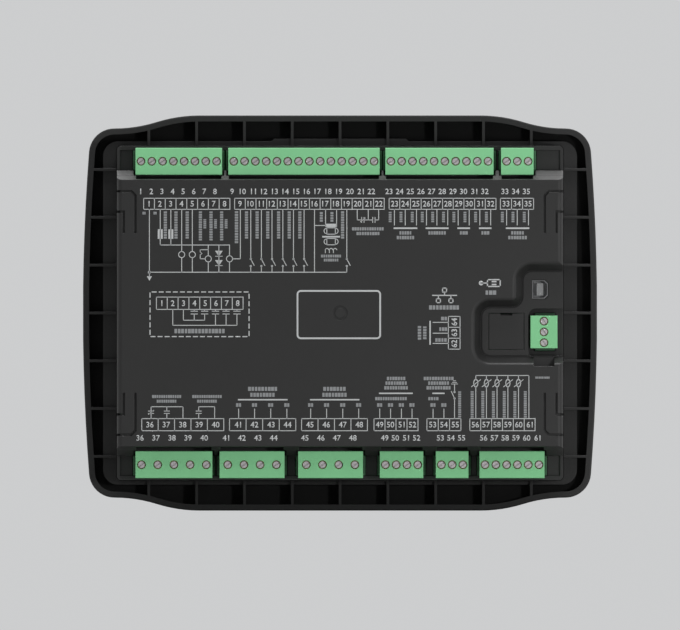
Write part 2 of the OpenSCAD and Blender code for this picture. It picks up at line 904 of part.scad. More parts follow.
module edge_rounds() {
    for (s = [0, 1]) mirror([s, 0, 0]) rotate([90, 0, 0])
        linear_extrude(2 * recess_in + 2 * past, center = true)
            translate([half_w - edge_round, plate_z - edge_round]) difference() {
                square(edge_round + past);
                circle(edge_round);
            }
}

module middle_mark() {
    mark_r = 3.5;
    mark_w = 1.1;
    mark_d = 0.4;
    layer(plate_z - mark_d, plate_z + past) difference() {
        circle(mark_r);
        circle(mark_r - mark_w);
    }
}

module board_boss_spots() {
    four_corners(board_boss_x, board_boss_y) children();
    for (s = [-1, 1]) translate([0, s * board_boss_y, 0]) children();
}

module rear_housing() {
    color("#2f2f31") stand() difference() {
        union() {
            housing_shell();
            intersection() {
                pocket_walls();
                layer(foot_z, under_plate + small) square([housing_w - housing_wall, upper_room_h + small],
                    center = true);
            }
            board_boss_spots() layer(board_back, under_plate + small) circle(boss_r);
            intersection() {
                four_corners(boss_x, boss_y) layer(boss_joint_z + small, board_z - small) circle(boss_r);
                square_room();
            }
        }
        for (i = [0:len(top_row) - 1]) at_top(i) {
            header_window(top_row[i]);
            plug_notch(top_row[i]);
        }
        for (i = [0:len(bottom_row) - 1]) at_bottom(i) {
            header_window(bottom_row[i]);
            plug_notch(bottom_row[i]);
        }
        pocket_cuts();
        for (sx = [0, 1], sy = [0, 1]) mirror([sx, 0, 0]) mirror([0, sy, 0]) clip_grooves();
        edge_rounds();
        middle_mark();
        board_boss_spots() layer(board_back - past, board_back + screw_reach + past)
            circle(screw_r + screw_gap);
        four_corners(boss_x, boss_y) layer(foot_z - past, board_z - boss_end) circle(screw_r + screw_gap);
    }
}

// Room inside the housing's outer walls, with half a wall to spare
module square_room() {
    layer(foot_z, board_back) square([room_w + housing_wall, room_h + housing_wall], center = true);
}

module housing_screws() {
    color("silver") stand() four_corners(boss_x, boss_y)
        pan_screw(inner_z, board_z - boss_end - past - inner_z, -1);
}

// Boards

module pin_spots(p) {
    for (i = [0:p[0] - 1]) translate([(i - (p[0] - 1) / 2) * p[1], 0, 0]) children();
}

module all_pin_spots() {
    for (i = [0:len(top_row) - 1]) at_top(i) pin_spots(top_row[i]) children();
    for (i = [0:len(bottom_row) - 1]) at_bottom(i) pin_spots(bottom_row[i]) children();
    at_serial() pin_spots(serial_plug) children();
}

module main_board() {
    corner = 0.5;
    color("#1f5a35") stand() layer(board_z, board_back) difference() {
        square([board_w, board_h], center = true);
        for (sx = [-1, 1], sy = [-1, 1]) translate([sx * board_w / 2, sy * board_h / 2])
            square([
                2 * (board_w / 2 - boss_x + boss_r + corner),
                2 * (board_h / 2 - boss_y + boss_r + corner)
            ], center = true);
        board_boss_spots() circle(screw_r + 2 * screw_gap);
        all_pin_spots() square(pin_side + 2 * pin_gap, center = true);
    }
}

module board_screws() {
    color("silver") stand() board_boss_spots() pan_screw(board_z, board_t + screw_reach, -1);
}

module board_link() {
    link_w = 52;
    link_d = 6;
    color("#202020") stand() layer(display_back, board_z) square([link_w, link_d], center = true);
}

// Terminals

module header(p) {
    len = plug_len(p) + 2 * (header_wall + plug_fit);
    difference() {
        translate([0, screw_shift, 0]) difference() {
            layer(board_back, header_top) square([len, header_d], center = true);
            layer(board_back + header_floor, header_top + past)
                square([plug_len(p) + 2 * plug_fit, tail_d + 2 * plug_fit], center = true);
        }
        layer(board_back - past, board_back + header_floor + past)
            pin_spots(p) square(pin_side + pin_gap, center = true);
    }
}

// Levels inside a plug
clamp_w = 3.8;
clamp_d = 4.8;
clamp_t = 0.7;
clamp_side = 0.5;
chamber_z = header_top + clamp_gap;
clamp_z = chamber_z + clamp_gap;
clamp_top = clamp_z + wire_entry + 2 * clamp_t;
chamber_top = clamp_top + clamp_gap;
tail_z = board_back + header_floor + plug_fit;
thread_r = 1.2;

module plug_way() {
    layer(chamber_top - small, plug_top + past) circle(d = well_dia);
    layer(chamber_z, chamber_top)
        square([clamp_w + 2 * clamp_gap, clamp_d + 2 * clamp_gap], center = true);
    translate([-wire_entry / 2, 0, clamp_z + clamp_t]) cube([wire_entry, plug_front + past, wire_entry]);
    layer(tail_z - past, chamber_z + small) square(pin_side + 2 * pin_gap, center = true);
}

module plug(p) {
    len = plug_len(p);
    lip = 0.25;
    difference() {
        union() {
            across(len) polygon([
                [-plug_back, header_top],
                [plug_front, header_top],
                [plug_front, plug_top - lip],
                [plug_front - lip, plug_top],
                [lip - plug_back, plug_top],
                [-plug_back, plug_top - lip]
            ]);
            translate([0, screw_shift, 0]) layer(tail_z, header_top + small)
                square([len, tail_d], center = true);
        }
        pin_spots(p) plug_way();
    }
}

module terminal_screw() {
    slot_w = 0.6;
    slot_d = 0.7;
    slot_turn = 35;
    tip = 0.4;
    head_top = plug_top - screw_sink;
    head_h = 1.8;
    difference() {
        union() {
            layer(head_top - head_h, head_top) circle(d = screw_dia);
            layer(clamp_z + clamp_t + wire_entry - tip, head_top - head_h + small) circle(thread_r);
        }
        rotate([0, 0, slot_turn]) layer(head_top - slot_d, head_top + past)
            square([screw_dia + past, slot_w], center = true);
    }
}

module wire_clamp() {
    difference() {
        layer(clamp_z, clamp_top) square([clamp_w, clamp_d], center = true);
        layer(clamp_z + clamp_t, clamp_z + clamp_t + wire_entry)
            square([clamp_w - 2 * clamp_side, clamp_d + past], center = true);
        layer(clamp_z + clamp_t, clamp_top + past) circle(thread_r + thread_gap);
    }
}

module header_01_08() {
    color("#2f7d4a") stand() at_top(0) header(top_row[0]);
}

module header_09_22() {
    color("#2f7d4a") stand() at_top(1) header(top_row[1]);
}

module header_23_32() {
    color("#2f7d4a") stand() at_top(2) header(top_row[2]);
}

module header_33_35() {
    color("#2f7d4a") stand() at_top(3) header(top_row[3]);
}

module header_36_40() {
    color("#2f7d4a") stand() at_bottom(0) header(bottom_row[0]);
}

module header_41_44() {
    color("#2f7d4a") stand() at_bottom(1) header(bottom_row[1]);
}

module header_45_48() {
    color("#2f7d4a") stand() at_bottom(2) header(bottom_row[2]);
}

module header_49_52() {
    color("#2f7d4a") stand() at_bottom(3) header(bottom_row[3]);
}

module header_53_55() {
    color("#2f7d4a") stand() at_bottom(4) header(bottom_row[4]);
}

module header_56_61() {
    color("#2f7d4a") stand() at_bottom(5) header(bottom_row[5]);
}

module header_62_64() {
    color("#2f7d4a") stand() at_serial() header(serial_plug);
}

module plug_01_08() {
    color("#7abe8a") stand() at_top(0) plug(top_row[0]);
}

module plug_09_22() {
    color("#7abe8a") stand() at_top(1) plug(top_row[1]);
}

module plug_23_32() {
    color("#7abe8a") stand() at_top(2) plug(top_row[2]);
}

module plug_33_35() {
    color("#7abe8a") stand() at_top(3) plug(top_row[3]);
}

module plug_36_40() {
    color("#7abe8a") stand() at_bottom(0) plug(bottom_row[0]);
}

module plug_41_44() {
    color("#7abe8a") stand() at_bottom(1) plug(bottom_row[1]);
}

module plug_45_48() {
    color("#7abe8a") stand() at_bottom(2) plug(bottom_row[2]);
}

module plug_49_52() {
    color("#7abe8a") stand() at_bottom(3) plug(bottom_row[3]);
}

module plug_53_55() {
    color("#7abe8a") stand() at_bottom(4) plug(bottom_row[4]);
}

module plug_56_61() {
    color("#7abe8a") stand() at_bottom(5) plug(bottom_row[5]);
}

module plug_62_64() {
    color("#7abe8a") stand() at_serial() plug(serial_plug);
}

module terminal_screws() {
    color("#b4aeb0") stand() all_pin_spots() terminal_screw();
}

module wire_clamps() {
    color("#c9b26a") stand() all_pin_spots() wire_clamp();
}

module header_pins() {
    pin_out = 1.5;
    color("#c9b26a") stand() all_pin_spots() layer(board_z - pin_out, header_top)
        square(pin_side, center = true);
}

// Sockets

// Square socket with its two outer corners cut off
module service_plan(grow) {
    w = service_w / 2 + grow;
    h = service_h / 2 + grow;
    polygon([
        [-w, -h], [w - service_cut, -h], [w, service_cut - h],
        [w, h - service_cut], [w - service_cut, h], [-w, h]
    ]);
}

module service_socket() {
    color("#9a9ca0") stand() translate([service_x, service_y, 0])
        layer(board_back, pocket_z - service_sink) difference() {
            service_plan(service_wall);
            service_plan(0);
        }
}

module service_tongue() {
    tongue_w = 3.1;
    tongue_h = 5.8;
    tongue_sink = 1;
    color("#b9babb") stand() translate([service_x, service_y, 0]) {
        layer(board_back, pocket_z - service_depth) service_plan(-small);
        layer(board_back + past, pocket_z - tongue_sink)
            square([tongue_w, tongue_h], center = true);
    }
}

module network_jack() {
    mouth_w = 12;
    mouth_h = 9;
    mouth_d = 14;
    color("#2b2c2e") stand() translate([cover_x, cover_y, 0]) difference() {
        layer(board_back, jack_top)
            square([cover_w - 2 * jack_inset, cover_h - 2 * jack_inset], center = true);
        layer(jack_top - mouth_d, jack_top + past) square([mouth_w, mouth_h], center = true);
    }
}

module network_cover() {
    grip_w = 5.5;
    grip_h = 0.9;
    color("#2f2f31") stand() translate([cover_x, cover_y, 0]) layer(jack_top, pocket_z) difference() {
        square([cover_w, cover_h], center = true);
        translate([-grip_w / 2, cover_h / 2 - grip_h]) square([grip_w, grip_h + past]);
    }
}

// Parts on the main board

cell_spot = [30, 30];
cell_r = 10;
cell_t = 3.2;
cell_rise = 1.2;
cell_seat = board_back + cell_rise;
part_row = board_boss_y - 5;

module cell_holder() {
    wall = 2.4;
    color("#202020") stand() translate(concat(cell_spot, 0)) difference() {
        layer(board_back, cell_seat + cell_t) circle(cell_r + wall);
        layer(cell_seat, cell_seat + cell_t + past) circle(cell_r + plug_fit);
    }
}

module clock_cell() {
    color("silver") stand() translate(concat(cell_spot, 0))
        layer(cell_seat, cell_seat + cell_t) circle(cell_r);
}

module output_relays() {
    relay = [19, 15.5, 15.5];
    relay_pitch = 22;
    first = -72;
    color("#1d3f7a") stand() for (i = [0:2])
        translate([first + i * relay_pitch, -part_row, board_back + relay.z / 2])
            cube(relay, center = true);
}

module current_transformers() {
    coil_r = 8;
    core_r = 3;
    coil_h = 14;
    coil_pitch = 18;
    first = 16;
    color("#3a3a3a") stand() for (i = [0:3]) translate([first + i * coil_pitch, -part_row, 0])
        layer(board_back, board_back + coil_h) difference() {
            circle(coil_r);
            circle(core_r);
        }
}

module supply_capacitors() {
    can_r = 6.3;
    can_h = 20;
    can_pitch = 16;
    first = -70;
    color("#20242c") stand() for (i = [0:2]) translate([first + i * can_pitch, part_row, 0])
        layer(board_back, board_back + can_h) circle(can_r);
}

front_bezel();
fascia_overlay();
display_lens();
lcd_module();
display_board();
display_screws();
stop_key();
manual_key();
test_key();
auto_key();
mute_key();
generator_key();
mains_key();
start_key();
up_key();
down_key();
enter_key();
exit_key();
key_switches();
status_lamps();
rear_housing();
housing_screws();
main_board();
board_screws();
board_link();
header_01_08();
header_09_22();
header_23_32();
header_33_35();
header_36_40();
header_41_44();
header_45_48();
header_49_52();
header_53_55();
header_56_61();
header_62_64();
plug_01_08();
plug_09_22();
plug_23_32();
plug_33_35();
plug_36_40();
plug_41_44();
plug_45_48();
plug_49_52();
plug_53_55();
plug_56_61();
plug_62_64();
terminal_screws();
wire_clamps();
header_pins();
service_socket();
service_tongue();
network_jack();
network_cover();
cell_holder();
clock_cell();
output_relays();
current_transformers();
supply_capacitors();
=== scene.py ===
import json
import math

import bmesh
import bpy
from mathutils import Matrix, Vector

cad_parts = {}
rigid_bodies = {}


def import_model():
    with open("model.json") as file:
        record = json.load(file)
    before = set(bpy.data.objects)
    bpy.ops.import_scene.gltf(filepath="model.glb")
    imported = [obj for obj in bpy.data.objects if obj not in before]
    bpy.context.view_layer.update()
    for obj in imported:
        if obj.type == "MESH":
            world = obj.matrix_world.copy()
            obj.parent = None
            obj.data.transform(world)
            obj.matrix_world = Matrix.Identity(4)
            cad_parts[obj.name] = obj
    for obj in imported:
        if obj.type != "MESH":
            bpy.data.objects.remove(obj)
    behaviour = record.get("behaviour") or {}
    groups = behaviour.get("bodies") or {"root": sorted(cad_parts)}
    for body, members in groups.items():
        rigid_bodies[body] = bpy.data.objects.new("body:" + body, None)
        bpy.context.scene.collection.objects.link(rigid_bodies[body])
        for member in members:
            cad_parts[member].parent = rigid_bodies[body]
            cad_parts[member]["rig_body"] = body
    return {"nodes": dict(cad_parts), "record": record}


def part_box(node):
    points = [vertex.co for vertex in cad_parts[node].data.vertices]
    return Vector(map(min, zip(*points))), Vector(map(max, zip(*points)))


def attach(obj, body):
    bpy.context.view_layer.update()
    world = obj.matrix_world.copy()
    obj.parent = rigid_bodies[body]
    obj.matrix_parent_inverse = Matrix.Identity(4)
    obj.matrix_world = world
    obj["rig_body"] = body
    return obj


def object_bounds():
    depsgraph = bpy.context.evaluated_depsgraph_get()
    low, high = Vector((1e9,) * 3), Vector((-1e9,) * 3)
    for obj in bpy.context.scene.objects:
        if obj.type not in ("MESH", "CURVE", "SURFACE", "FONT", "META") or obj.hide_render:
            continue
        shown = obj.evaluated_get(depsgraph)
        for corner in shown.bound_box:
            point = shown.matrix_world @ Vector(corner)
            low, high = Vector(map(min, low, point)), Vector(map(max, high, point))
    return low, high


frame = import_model()
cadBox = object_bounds()
mm = 0.001
scene = bpy.context.scene
scene.view_settings.view_transform = "Standard"
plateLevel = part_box("rear_housing")[1].y
fasciaLevel = -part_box("fascia_overlay")[0].y

# Turns that stand a flat drawing up, as seen from behind and as seen from the display side
rearTurn = Matrix.Rotation(math.pi, 4, "Z") @ Matrix.Rotation(math.pi / 2, 4, "X")
frontTurn = Matrix.Rotation(math.pi / 2, 4, "X")


# Camera, floor and light

cameraSpec = {"wide": 0.320, "away": 0.9, "down": 0.00094}
camera = bpy.data.objects.new("rearCamera", bpy.data.cameras.new("rearCamera"))
camera.data.type = "ORTHO"
camera.data.ortho_scale = cameraSpec["wide"]
camera.location = (0, cameraSpec["away"], -cameraSpec["down"])
camera.rotation_euler = (math.pi / 2, 0, math.pi)
scene.collection.objects.link(camera)
scene.camera = camera

studioSpec = {
    "floorSize": 8.0,
    "floorGap": 0.0004,
    "paper": {"colour": (0.60, 0.60, 0.59), "fibreScale": 30.0, "fibreDetail": 4.0, "fibreTone": 0.985,
              "rough": 0.85, "specular": 0.1},
    "worldColour": (0.98, 0.99, 1.0),
    "fill": 0.33,
    "pale": 0.62,
    "lamps": [
        {"name": "overhead", "at": (-0.11, 0.45, 1.69), "aim": (0, 0.02, 0), "size": 0.75, "watts": 22.5},
        {"name": "crown", "at": (0, -0.45, 0.72), "aim": (0, 0.02, 0), "size": 0.7, "watts": 5.0},
        {"name": "lowFront", "at": (-0.60, 1.20, -0.03), "aim": (0, 0, 0), "size": 0.12, "watts": 3.6},
        {"name": "rightSide", "at": (-1.0, 0.10, 0.15), "aim": (0, 0.03, 0), "size": 0.4, "watts": 1.4},
        {"name": "leftSide", "at": (1.0, 0.00, 0.15), "aim": (0, 0.03, 0), "size": 0.3, "watts": 0.7},
        {"name": "displaySide", "at": (-0.45, -0.95, 0.5), "aim": (0, 0, 0), "size": 0.8, "watts": 3.0},
    ],
}


def toLinear(colour):  # display values, 0 to 1, as linear light
    return tuple(c / 12.92 if c <= 0.04045 else ((c + 0.055) / 1.055) ** 2.4 for c in colour)


def fromBytes(red, green, blue):
    return (*toLinear((red / 255, green / 255, blue / 255)), 1.0)


def brighter(colour, share):
    return tuple(c * share for c in colour[:3]) + (1.0,)


def shades(colour, shares):
    return [brighter(colour, share) for share in shares]


def newObject(name, bm):
    mesh = bpy.data.meshes.new(name)
    bm.to_mesh(mesh)
    bm.free()
    piece = bpy.data.objects.new(name, mesh)
    scene.collection.objects.link(piece)
    return piece


class Flow:  # a socket that takes part in sums, and the one way to add a node
    def __init__(self, tree, socket=None):
        self.tree = tree
        self.socket = socket

    def feed(self, node, inputs):
        for key, value in inputs.items():
            if isinstance(value, Flow):
                self.tree.links.new(value.socket, node.inputs[key])
            else:
                node.inputs[key].default_value = value

    def add(self, kind, settings=None, inputs=None, out=0):
        node = self.tree.nodes.new(kind)
        for key, value in (settings or {}).items():
            setattr(node, key, value)
        self.feed(node, inputs or {})
        return Flow(self.tree, node.outputs[out])

    def maths(self, operation, first, second):
        return self.add("ShaderNodeMath", {"operation": operation}, {0: first, 1: second})

    def __add__(self, other):
        return self.maths("ADD", self, other)

    def __radd__(self, other):
        return self.maths("ADD", other, self)

    def __sub__(self, other):
        return self.maths("SUBTRACT", self, other)

    def __rsub__(self, other):
        return self.maths("SUBTRACT", other, self)

    def __mul__(self, other):
        return self.maths("MULTIPLY", self, other)

    def __rmul__(self, other):
        return self.maths("MULTIPLY", other, self)

    def __gt__(self, other):
        return self.maths("GREATER_THAN", self, other)

    def __lt__(self, other):
        return self.maths("LESS_THAN", self, other)

    def away(self):
        return self.maths("ABSOLUTE", self, 0.0)

    def clipped(self):
        return self.add("ShaderNodeClamp", None, {"Value": self})

    def blend(self, colourA, colourB):  # a Mix node's colours go in at 6 and 7 and come out at 2
        inputs = {0: self.clipped(), 6: colourA, 7: colourB}
        return self.add("ShaderNodeMix", {"data_type": "RGBA"}, inputs, 2)


def startFinish(name):
    finish = bpy.data.materials.new(name)
    finish.use_nodes = True
    flow = Flow(finish.node_tree)
    coords = flow.add("ShaderNodeTexCoord", out="Object")
    return finish, finish.node_tree.nodes["Principled BSDF"], flow, coords


noiseMean = 0.5


def noise(flow, coords, scale, detail=2.0):
    return flow.add("ShaderNodeTexNoise", None, {"Vector": coords, "Scale": scale, "Detail": detail})


def along(flow, vector, axis):
    return flow.add("ShaderNodeSeparateXYZ", None, {0: vector}, axis)


def bumped(flow, height, strength, depth, **normal):
    inputs = {"Strength": strength, "Distance": depth * mm, "Height": height, **normal}
    return flow.add("ShaderNodeBump", None, inputs)


edgeSpec = {"samples": 6, "gain": 5}


def softEdges(flow, radius):  # rounded normal, and how far it leans away from the flat face
    rounded = flow.add("ShaderNodeBevel", {"samples": edgeSpec["samples"]}, {"Radius": radius * mm})
    flat = flow.add("ShaderNodeNewGeometry", out="Normal")
    agree = flow.add("ShaderNodeVectorMath", {"operation": "DOT_PRODUCT"}, {0: rounded, 1: flat}, "Value")
    return rounded, ((1 - agree) * edgeSpec["gain"]).clipped()


plasticSpec = {
    "driftScale": 38.0, "driftTone": (0.90, 1.10), "driftRough": 0.12,
    "grainScale": 2600.0, "grainRough": 0.10, "grainDepth": 0.06, "bump": 0.12,
    "edge": 0.35, "edgeRough": 0.08, "wear": 0.5, "wornTone": 1.9, "specular": 0.4,
}


def mouldedPlastic(name, spec):
    spec = {**plasticSpec, **spec}
    finish, shader, flow, coords = startFinish(name)
    colour = fromBytes(*spec["colour"])
    drift = noise(flow, coords, spec["driftScale"], 3.0)
    grain = noise(flow, coords, spec["grainScale"])
    rounded, edge = softEdges(flow, spec["edge"])
    tone = drift.blend(*shades(colour, spec["driftTone"]))
    rough = spec["rough"] + (drift - noiseMean) * spec["driftRough"]
    rough = rough + (grain - noiseMean) * spec["grainRough"] - edge * spec["edgeRough"]
    if "deep" in spec:  # painted shade: the rear-facing channel floor is darkened for the shade deep in the channel, and made rougher
        facing = along(flow, flow.add("ShaderNodeNewGeometry", out="True Normal"), "Y")
        shadedChannelFloor = (along(flow, coords, "Y") < spec["deep"] * mm) * (facing > 0.5)
        tone = (shadedChannelFloor * spec["deepShadeShare"]).blend(tone, brighter(colour, spec["deepShadeTone"]))
        rough = rough + shadedChannelFloor * spec["deepRough"]
    worn = edge * grain * spec["wear"]
    base = worn.blend(tone, brighter(colour, spec["wornTone"]))
    bump = bumped(flow, grain, spec["bump"], spec["grainDepth"], Normal=rounded)
    flow.feed(shader, {"Base Color": base, "Roughness": rough, "Normal": bump,
                       "Specular IOR Level": spec["specular"]})
    return finish


metalSpec = {
    "patchScale": 420.0, "patchTone": (0.82, 1.12), "patchRough": 0.2,
    "scratchScale": (6000, 900, 600), "scratchRough": 0.15, "scratchDepth": 0.04, "bump": 0.15,
    "edge": 0.15, "edgeShare": 0.4, "edgeTone": 1.3, "metal": 1.0,
}


def platedMetal(name, spec):
    spec = {**metalSpec, **spec}
    finish, shader, flow, coords = startFinish(name)
    colour = fromBytes(*spec["colour"])
    patch = noise(flow, coords, spec["patchScale"], 3.0)
    drawn = flow.add("ShaderNodeMapping", None, {"Vector": coords, "Scale": spec["scratchScale"]})
    scratch = noise(flow, drawn, 1.0)
    rounded, edge = softEdges(flow, spec["edge"])
    tone = patch.blend(*shades(colour, spec["patchTone"]))
    if "mouth" in spec:  # painted light: below the mouth the shell's inside is lightened to stand in for light reaching into its shaded hollow; the rim at the mouth keeps the plain, duller colour
        rim = along(flow, coords, "Y") > spec["mouth"]
        tone = rim.blend(brighter(colour, spec["inside"]), tone)
    base = (edge * spec["edgeShare"]).blend(tone, brighter(colour, spec["edgeTone"]))
    rough = spec["rough"] + (patch - noiseMean) * spec["patchRough"]
    rough = rough + (scratch - noiseMean) * spec["scratchRough"]
    bump = bumped(flow, scratch, spec["bump"], spec["scratchDepth"], Normal=rounded)
    flow.feed(shader, {"Base Color": base, "Roughness": rough, "Metallic": spec["metal"], "Normal": bump})
    return finish


def boardLaminate(name, spec):
    finish, shader, flow, coords = startFinish(name)
    colour = fromBytes(*spec["colour"])
    cells = flow.add("ShaderNodeTexVoronoi", {"feature": "DISTANCE_TO_EDGE"},
                     {"Vector": coords, "Scale": spec["trackScale"]})
    tracks = cells < spec["trackWidth"]
    cloth = noise(flow, coords, spec["clothScale"])
    mask = cloth.blend(colour, brighter(colour, spec["clothTone"]))
    base = (tracks * spec["trackShare"]).blend(mask, fromBytes(*spec["tracks"]))
    bump = bumped(flow, tracks, spec["bump"], spec["trackDepth"])
    flow.feed(shader, {"Base Color": base, "Roughness": spec["rough"] + cloth * spec["clothRough"],
                       "Normal": bump})
    return finish


def displayGlass(name, spec):  # an active field inside a darker edge
    finish, shader, flow, coords = startFinish(name)
    colour = fromBytes(*spec["colour"])
    active = (along(flow, coords, "X") - spec["middle"].x).away() < spec["half"].x
    active = active * ((along(flow, coords, "Z") - spec["middle"].z).away() < spec["half"].z)
    sheen = noise(flow, coords, spec["sheenScale"], 1.0)
    tone = sheen.blend(colour, fromBytes(*spec["sheen"]))
    flow.feed(shader, {"Base Color": active.blend(brighter(colour, spec["edgeTone"]), tone),
                       "Roughness": spec["rough"] + sheen * spec["sheenRough"],
                       "Coat Weight": spec["coat"]})
    return finish


clearSpec = {"smearScale": 55.0, "smearTone": 0.94, "smearRough": 0.05, "cover": 1.0, "bending": 1.49}


def clearPlastic(name, spec):
    spec = {**clearSpec, **spec}
    finish, shader, flow, coords = startFinish(name)
    colour = fromBytes(*spec["colour"])
    smear = noise(flow, coords, spec["smearScale"], 3.0)
    tone = smear.blend(colour, brighter(colour, spec["smearTone"]))
    flow.feed(shader, {"Base Color": tone, "Roughness": spec["rough"] + smear * spec["smearRough"],
                       "Alpha": spec["cover"], "Transmission Weight": spec["through"],
                       "IOR": spec["bending"]})
    return finish


inkSpec = {
    "coverScale": 1500.0, "coverTone": (0.86, 1.08), "coverDepth": 0.03, "bump": 0.1,
    "cloudScale": 60.0, "cloudRough": 0.15, "rough": 0.55, "specular": 0.3,
}


def printedInk(name, colour):
    finish, shader, flow, coords = startFinish(name)
    cover = noise(flow, coords, inkSpec["coverScale"], 3.0)
    cloud = noise(flow, coords, inkSpec["cloudScale"])
    tone = cover.blend(*shades(fromBytes(*colour), inkSpec["coverTone"]))
    bump = bumped(flow, cover, inkSpec["bump"], inkSpec["coverDepth"])
    flow.feed(shader, {"Base Color": tone, "Roughness": inkSpec["rough"] + cloud * inkSpec["cloudRough"],
                       "Normal": bump, "Specular IOR Level": inkSpec["specular"]})
    return finish


def studioPaper(name, spec):
    finish, shader, flow, coords = startFinish(name)
    fibre = noise(flow, coords, spec["fibreScale"], spec["fibreDetail"])
    tone = fibre.blend(*shades(spec["colour"], (spec["fibreTone"], 1.0)))
    flow.feed(shader, {"Base Color": tone, "Roughness": spec["rough"],
                       "Specular IOR Level": spec["specular"]})
    return finish


bm = bmesh.new()
bmesh.ops.create_grid(bm, x_segments=1, y_segments=1, size=studioSpec["floorSize"] / 2)
bmesh.ops.translate(bm, verts=bm.verts, vec=(0, 0, cadBox[0].z - studioSpec["floorGap"]))
floor = newObject("studioFloor", bm)
floor.data.materials.append(studioPaper("studioPaper", studioSpec["paper"]))

# The sky is paler where it is seen or mirrored than where it lights
world = bpy.data.worlds.new("studioWorld")
scene.world = world
world.use_nodes = True
skyFlow = Flow(world.node_tree)
rays = ("Is Camera Ray", "Is Glossy Ray", "Is Transmission Ray")
seen = sum(skyFlow.add("ShaderNodeLightPath", out=ray) for ray in rays).clipped()
skyFlow.feed(world.node_tree.nodes["Background"], {
    "Color": (*studioSpec["worldColour"], 1),
    "Strength": studioSpec["fill"] + seen * (studioSpec["pale"] - studioSpec["fill"])})

for lamp in studioSpec["lamps"]:
    light = bpy.data.lights.new(lamp["name"], "AREA")
    light.shape = "DISK"
    light.size = lamp["size"]
    light.energy = lamp["watts"]
    holder = bpy.data.objects.new(lamp["name"], light)
    holder.location = lamp["at"]
    holder.rotation_euler = (Vector(lamp["aim"]) - Vector(lamp["at"])).to_track_quat("-Z", "Y").to_euler()
    scene.collection.objects.link(holder)
print("stage ready")


# Finishes of the moulded, metal and clear pieces, one for each material slot

lensLow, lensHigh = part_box("display_lens")
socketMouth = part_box("service_socket")[1].y
displayEdge = Vector((4.3, 0, 4.3)) * mm
rimDepth = 0.2 * mm
finishSpec = {
    "bezel_plastic": (mouldedPlastic, {
        "colour": (46, 46, 46), "rough": 0.48, "wear": 0.35, "specular": 0.18,
        # the deep channel floor gets painted shade, darker than the rim and ledge
        "deep": -4.0, "deepShadeShare": 0.6, "deepShadeTone": 0.15, "deepRough": 0.45}),
    "housing_plastic": (mouldedPlastic, {
        "colour": (29, 29, 29), "rough": 0.49, "wear": 0.4, "specular": 0.36}),
    "fascia_film": (mouldedPlastic, {
        "colour": (52, 56, 60), "rough": 0.55, "wear": 0.1, "edge": 0.1, "specular": 0.25}),
    "switch_plastic": (mouldedPlastic, {"colour": (34, 34, 35), "rough": 0.5}),
    "key_grey": (mouldedPlastic, {"colour": (96, 101, 106), "rough": 0.62, "edge": 0.5, "wear": 0.2}),
    "stop_key_red": (mouldedPlastic, {
        "colour": (176, 40, 34), "rough": 0.6, "edge": 0.5, "wornTone": 1.3}),
    "start_key_green": (mouldedPlastic, {
        "colour": (44, 134, 70), "rough": 0.6, "edge": 0.5, "wornTone": 1.3}),
    "plug_green": (mouldedPlastic, {
        "colour": (127, 198, 143), "rough": 0.5, "wornTone": 1.15, "wear": 0.3, "edge": 0.15,
        "specular": 0.3}),
    # the header green is darker than the plug green: painted shade for the recess the header sits in
    "header_green": (mouldedPlastic, {"colour": (52, 92, 64), "rough": 0.5, "wornTone": 1.3, "wear": 0.3}),
    "relay_case": (mouldedPlastic, {"colour": (32, 62, 118), "rough": 0.4}),
    "coil_case": (mouldedPlastic, {"colour": (52, 52, 54), "rough": 0.55}),
    "capacitor_sleeve": (mouldedPlastic, {"colour": (34, 38, 46), "rough": 0.3}),
    "socket_plastic": (mouldedPlastic, {
        "colour": (136, 137, 138), "rough": 0.5, "wornTone": 1.2, "edge": 0.2}),
    "screw_steel": (platedMetal, {"colour": (178, 178, 182), "rough": 0.38}),
    "terminal_steel": (platedMetal, {"colour": (180, 174, 177), "rough": 0.50, "metal": 0.85}),
    "contact_metal": (platedMetal, {"colour": (205, 186, 122), "rough": 0.35}),
    # painted light: the shell's inside, below its mouth, is lightened by the inside share
    "socket_steel": (platedMetal, {
        "colour": (112, 112, 114), "rough": 0.55, "metal": 0.3, "inside": 3.4,
        "mouth": socketMouth - rimDepth}),
    "board_laminate": (boardLaminate, {
        "colour": (24, 82, 50), "rough": 0.34, "clothScale": 900.0, "clothTone": 1.3, "clothRough": 0.12,
        "tracks": (44, 116, 74), "trackScale": 260.0, "trackWidth": 0.06, "trackShare": 0.7,
        "trackDepth": 0.04, "bump": 0.3}),
    "display_glass": (displayGlass, {
        "colour": (58, 70, 72), "rough": 0.30, "coat": 0.5, "edgeTone": 0.72,
        "sheen": (66, 79, 80), "sheenScale": 14.0, "sheenRough": 0.1,
        "middle": (lensLow + lensHigh) / 2, "half": (lensHigh - lensLow) / 2 - displayEdge}),
    "clear_lens": (clearPlastic, {"colour": (40, 44, 46), "rough": 0.12, "through": 0.0, "cover": 0.03}),
    "lamp_clear": (clearPlastic, {"colour": (226, 230, 222), "rough": 0.25, "through": 0.6}),
}

finishes = {slot: make(slot, spec) for slot, (make, spec) in finishSpec.items()}
for part in frame["record"]["subparts"]:
    node = frame["nodes"][part["node"]]
    node.data.materials.clear()
    node.data.materials.append(finishes[part["material_slot"]])
print("finishes on", len(frame["nodes"]), "pieces of", len(finishes), "kinds")


# Flat drawing: everything is drawn in millimetres on a sheet, then thickened and stood up

fineLine = 0.36
arcSpec = {"stepAngle": 18, "fewest": 6}


def bar(bm, start, end, width=fineLine):
    a, b = Vector((*start, 0)), Vector((*end, 0))
    run = b - a
    turn = Matrix.Rotation(math.atan2(run.y, run.x), 4, "Z")
    size = Matrix.Diagonal((run.length + width, width, 1, 1))
    bmesh.ops.create_grid(bm, x_segments=1, y_segments=1, size=0.5,
                          matrix=Matrix.Translation((a + b) / 2) @ turn @ size)


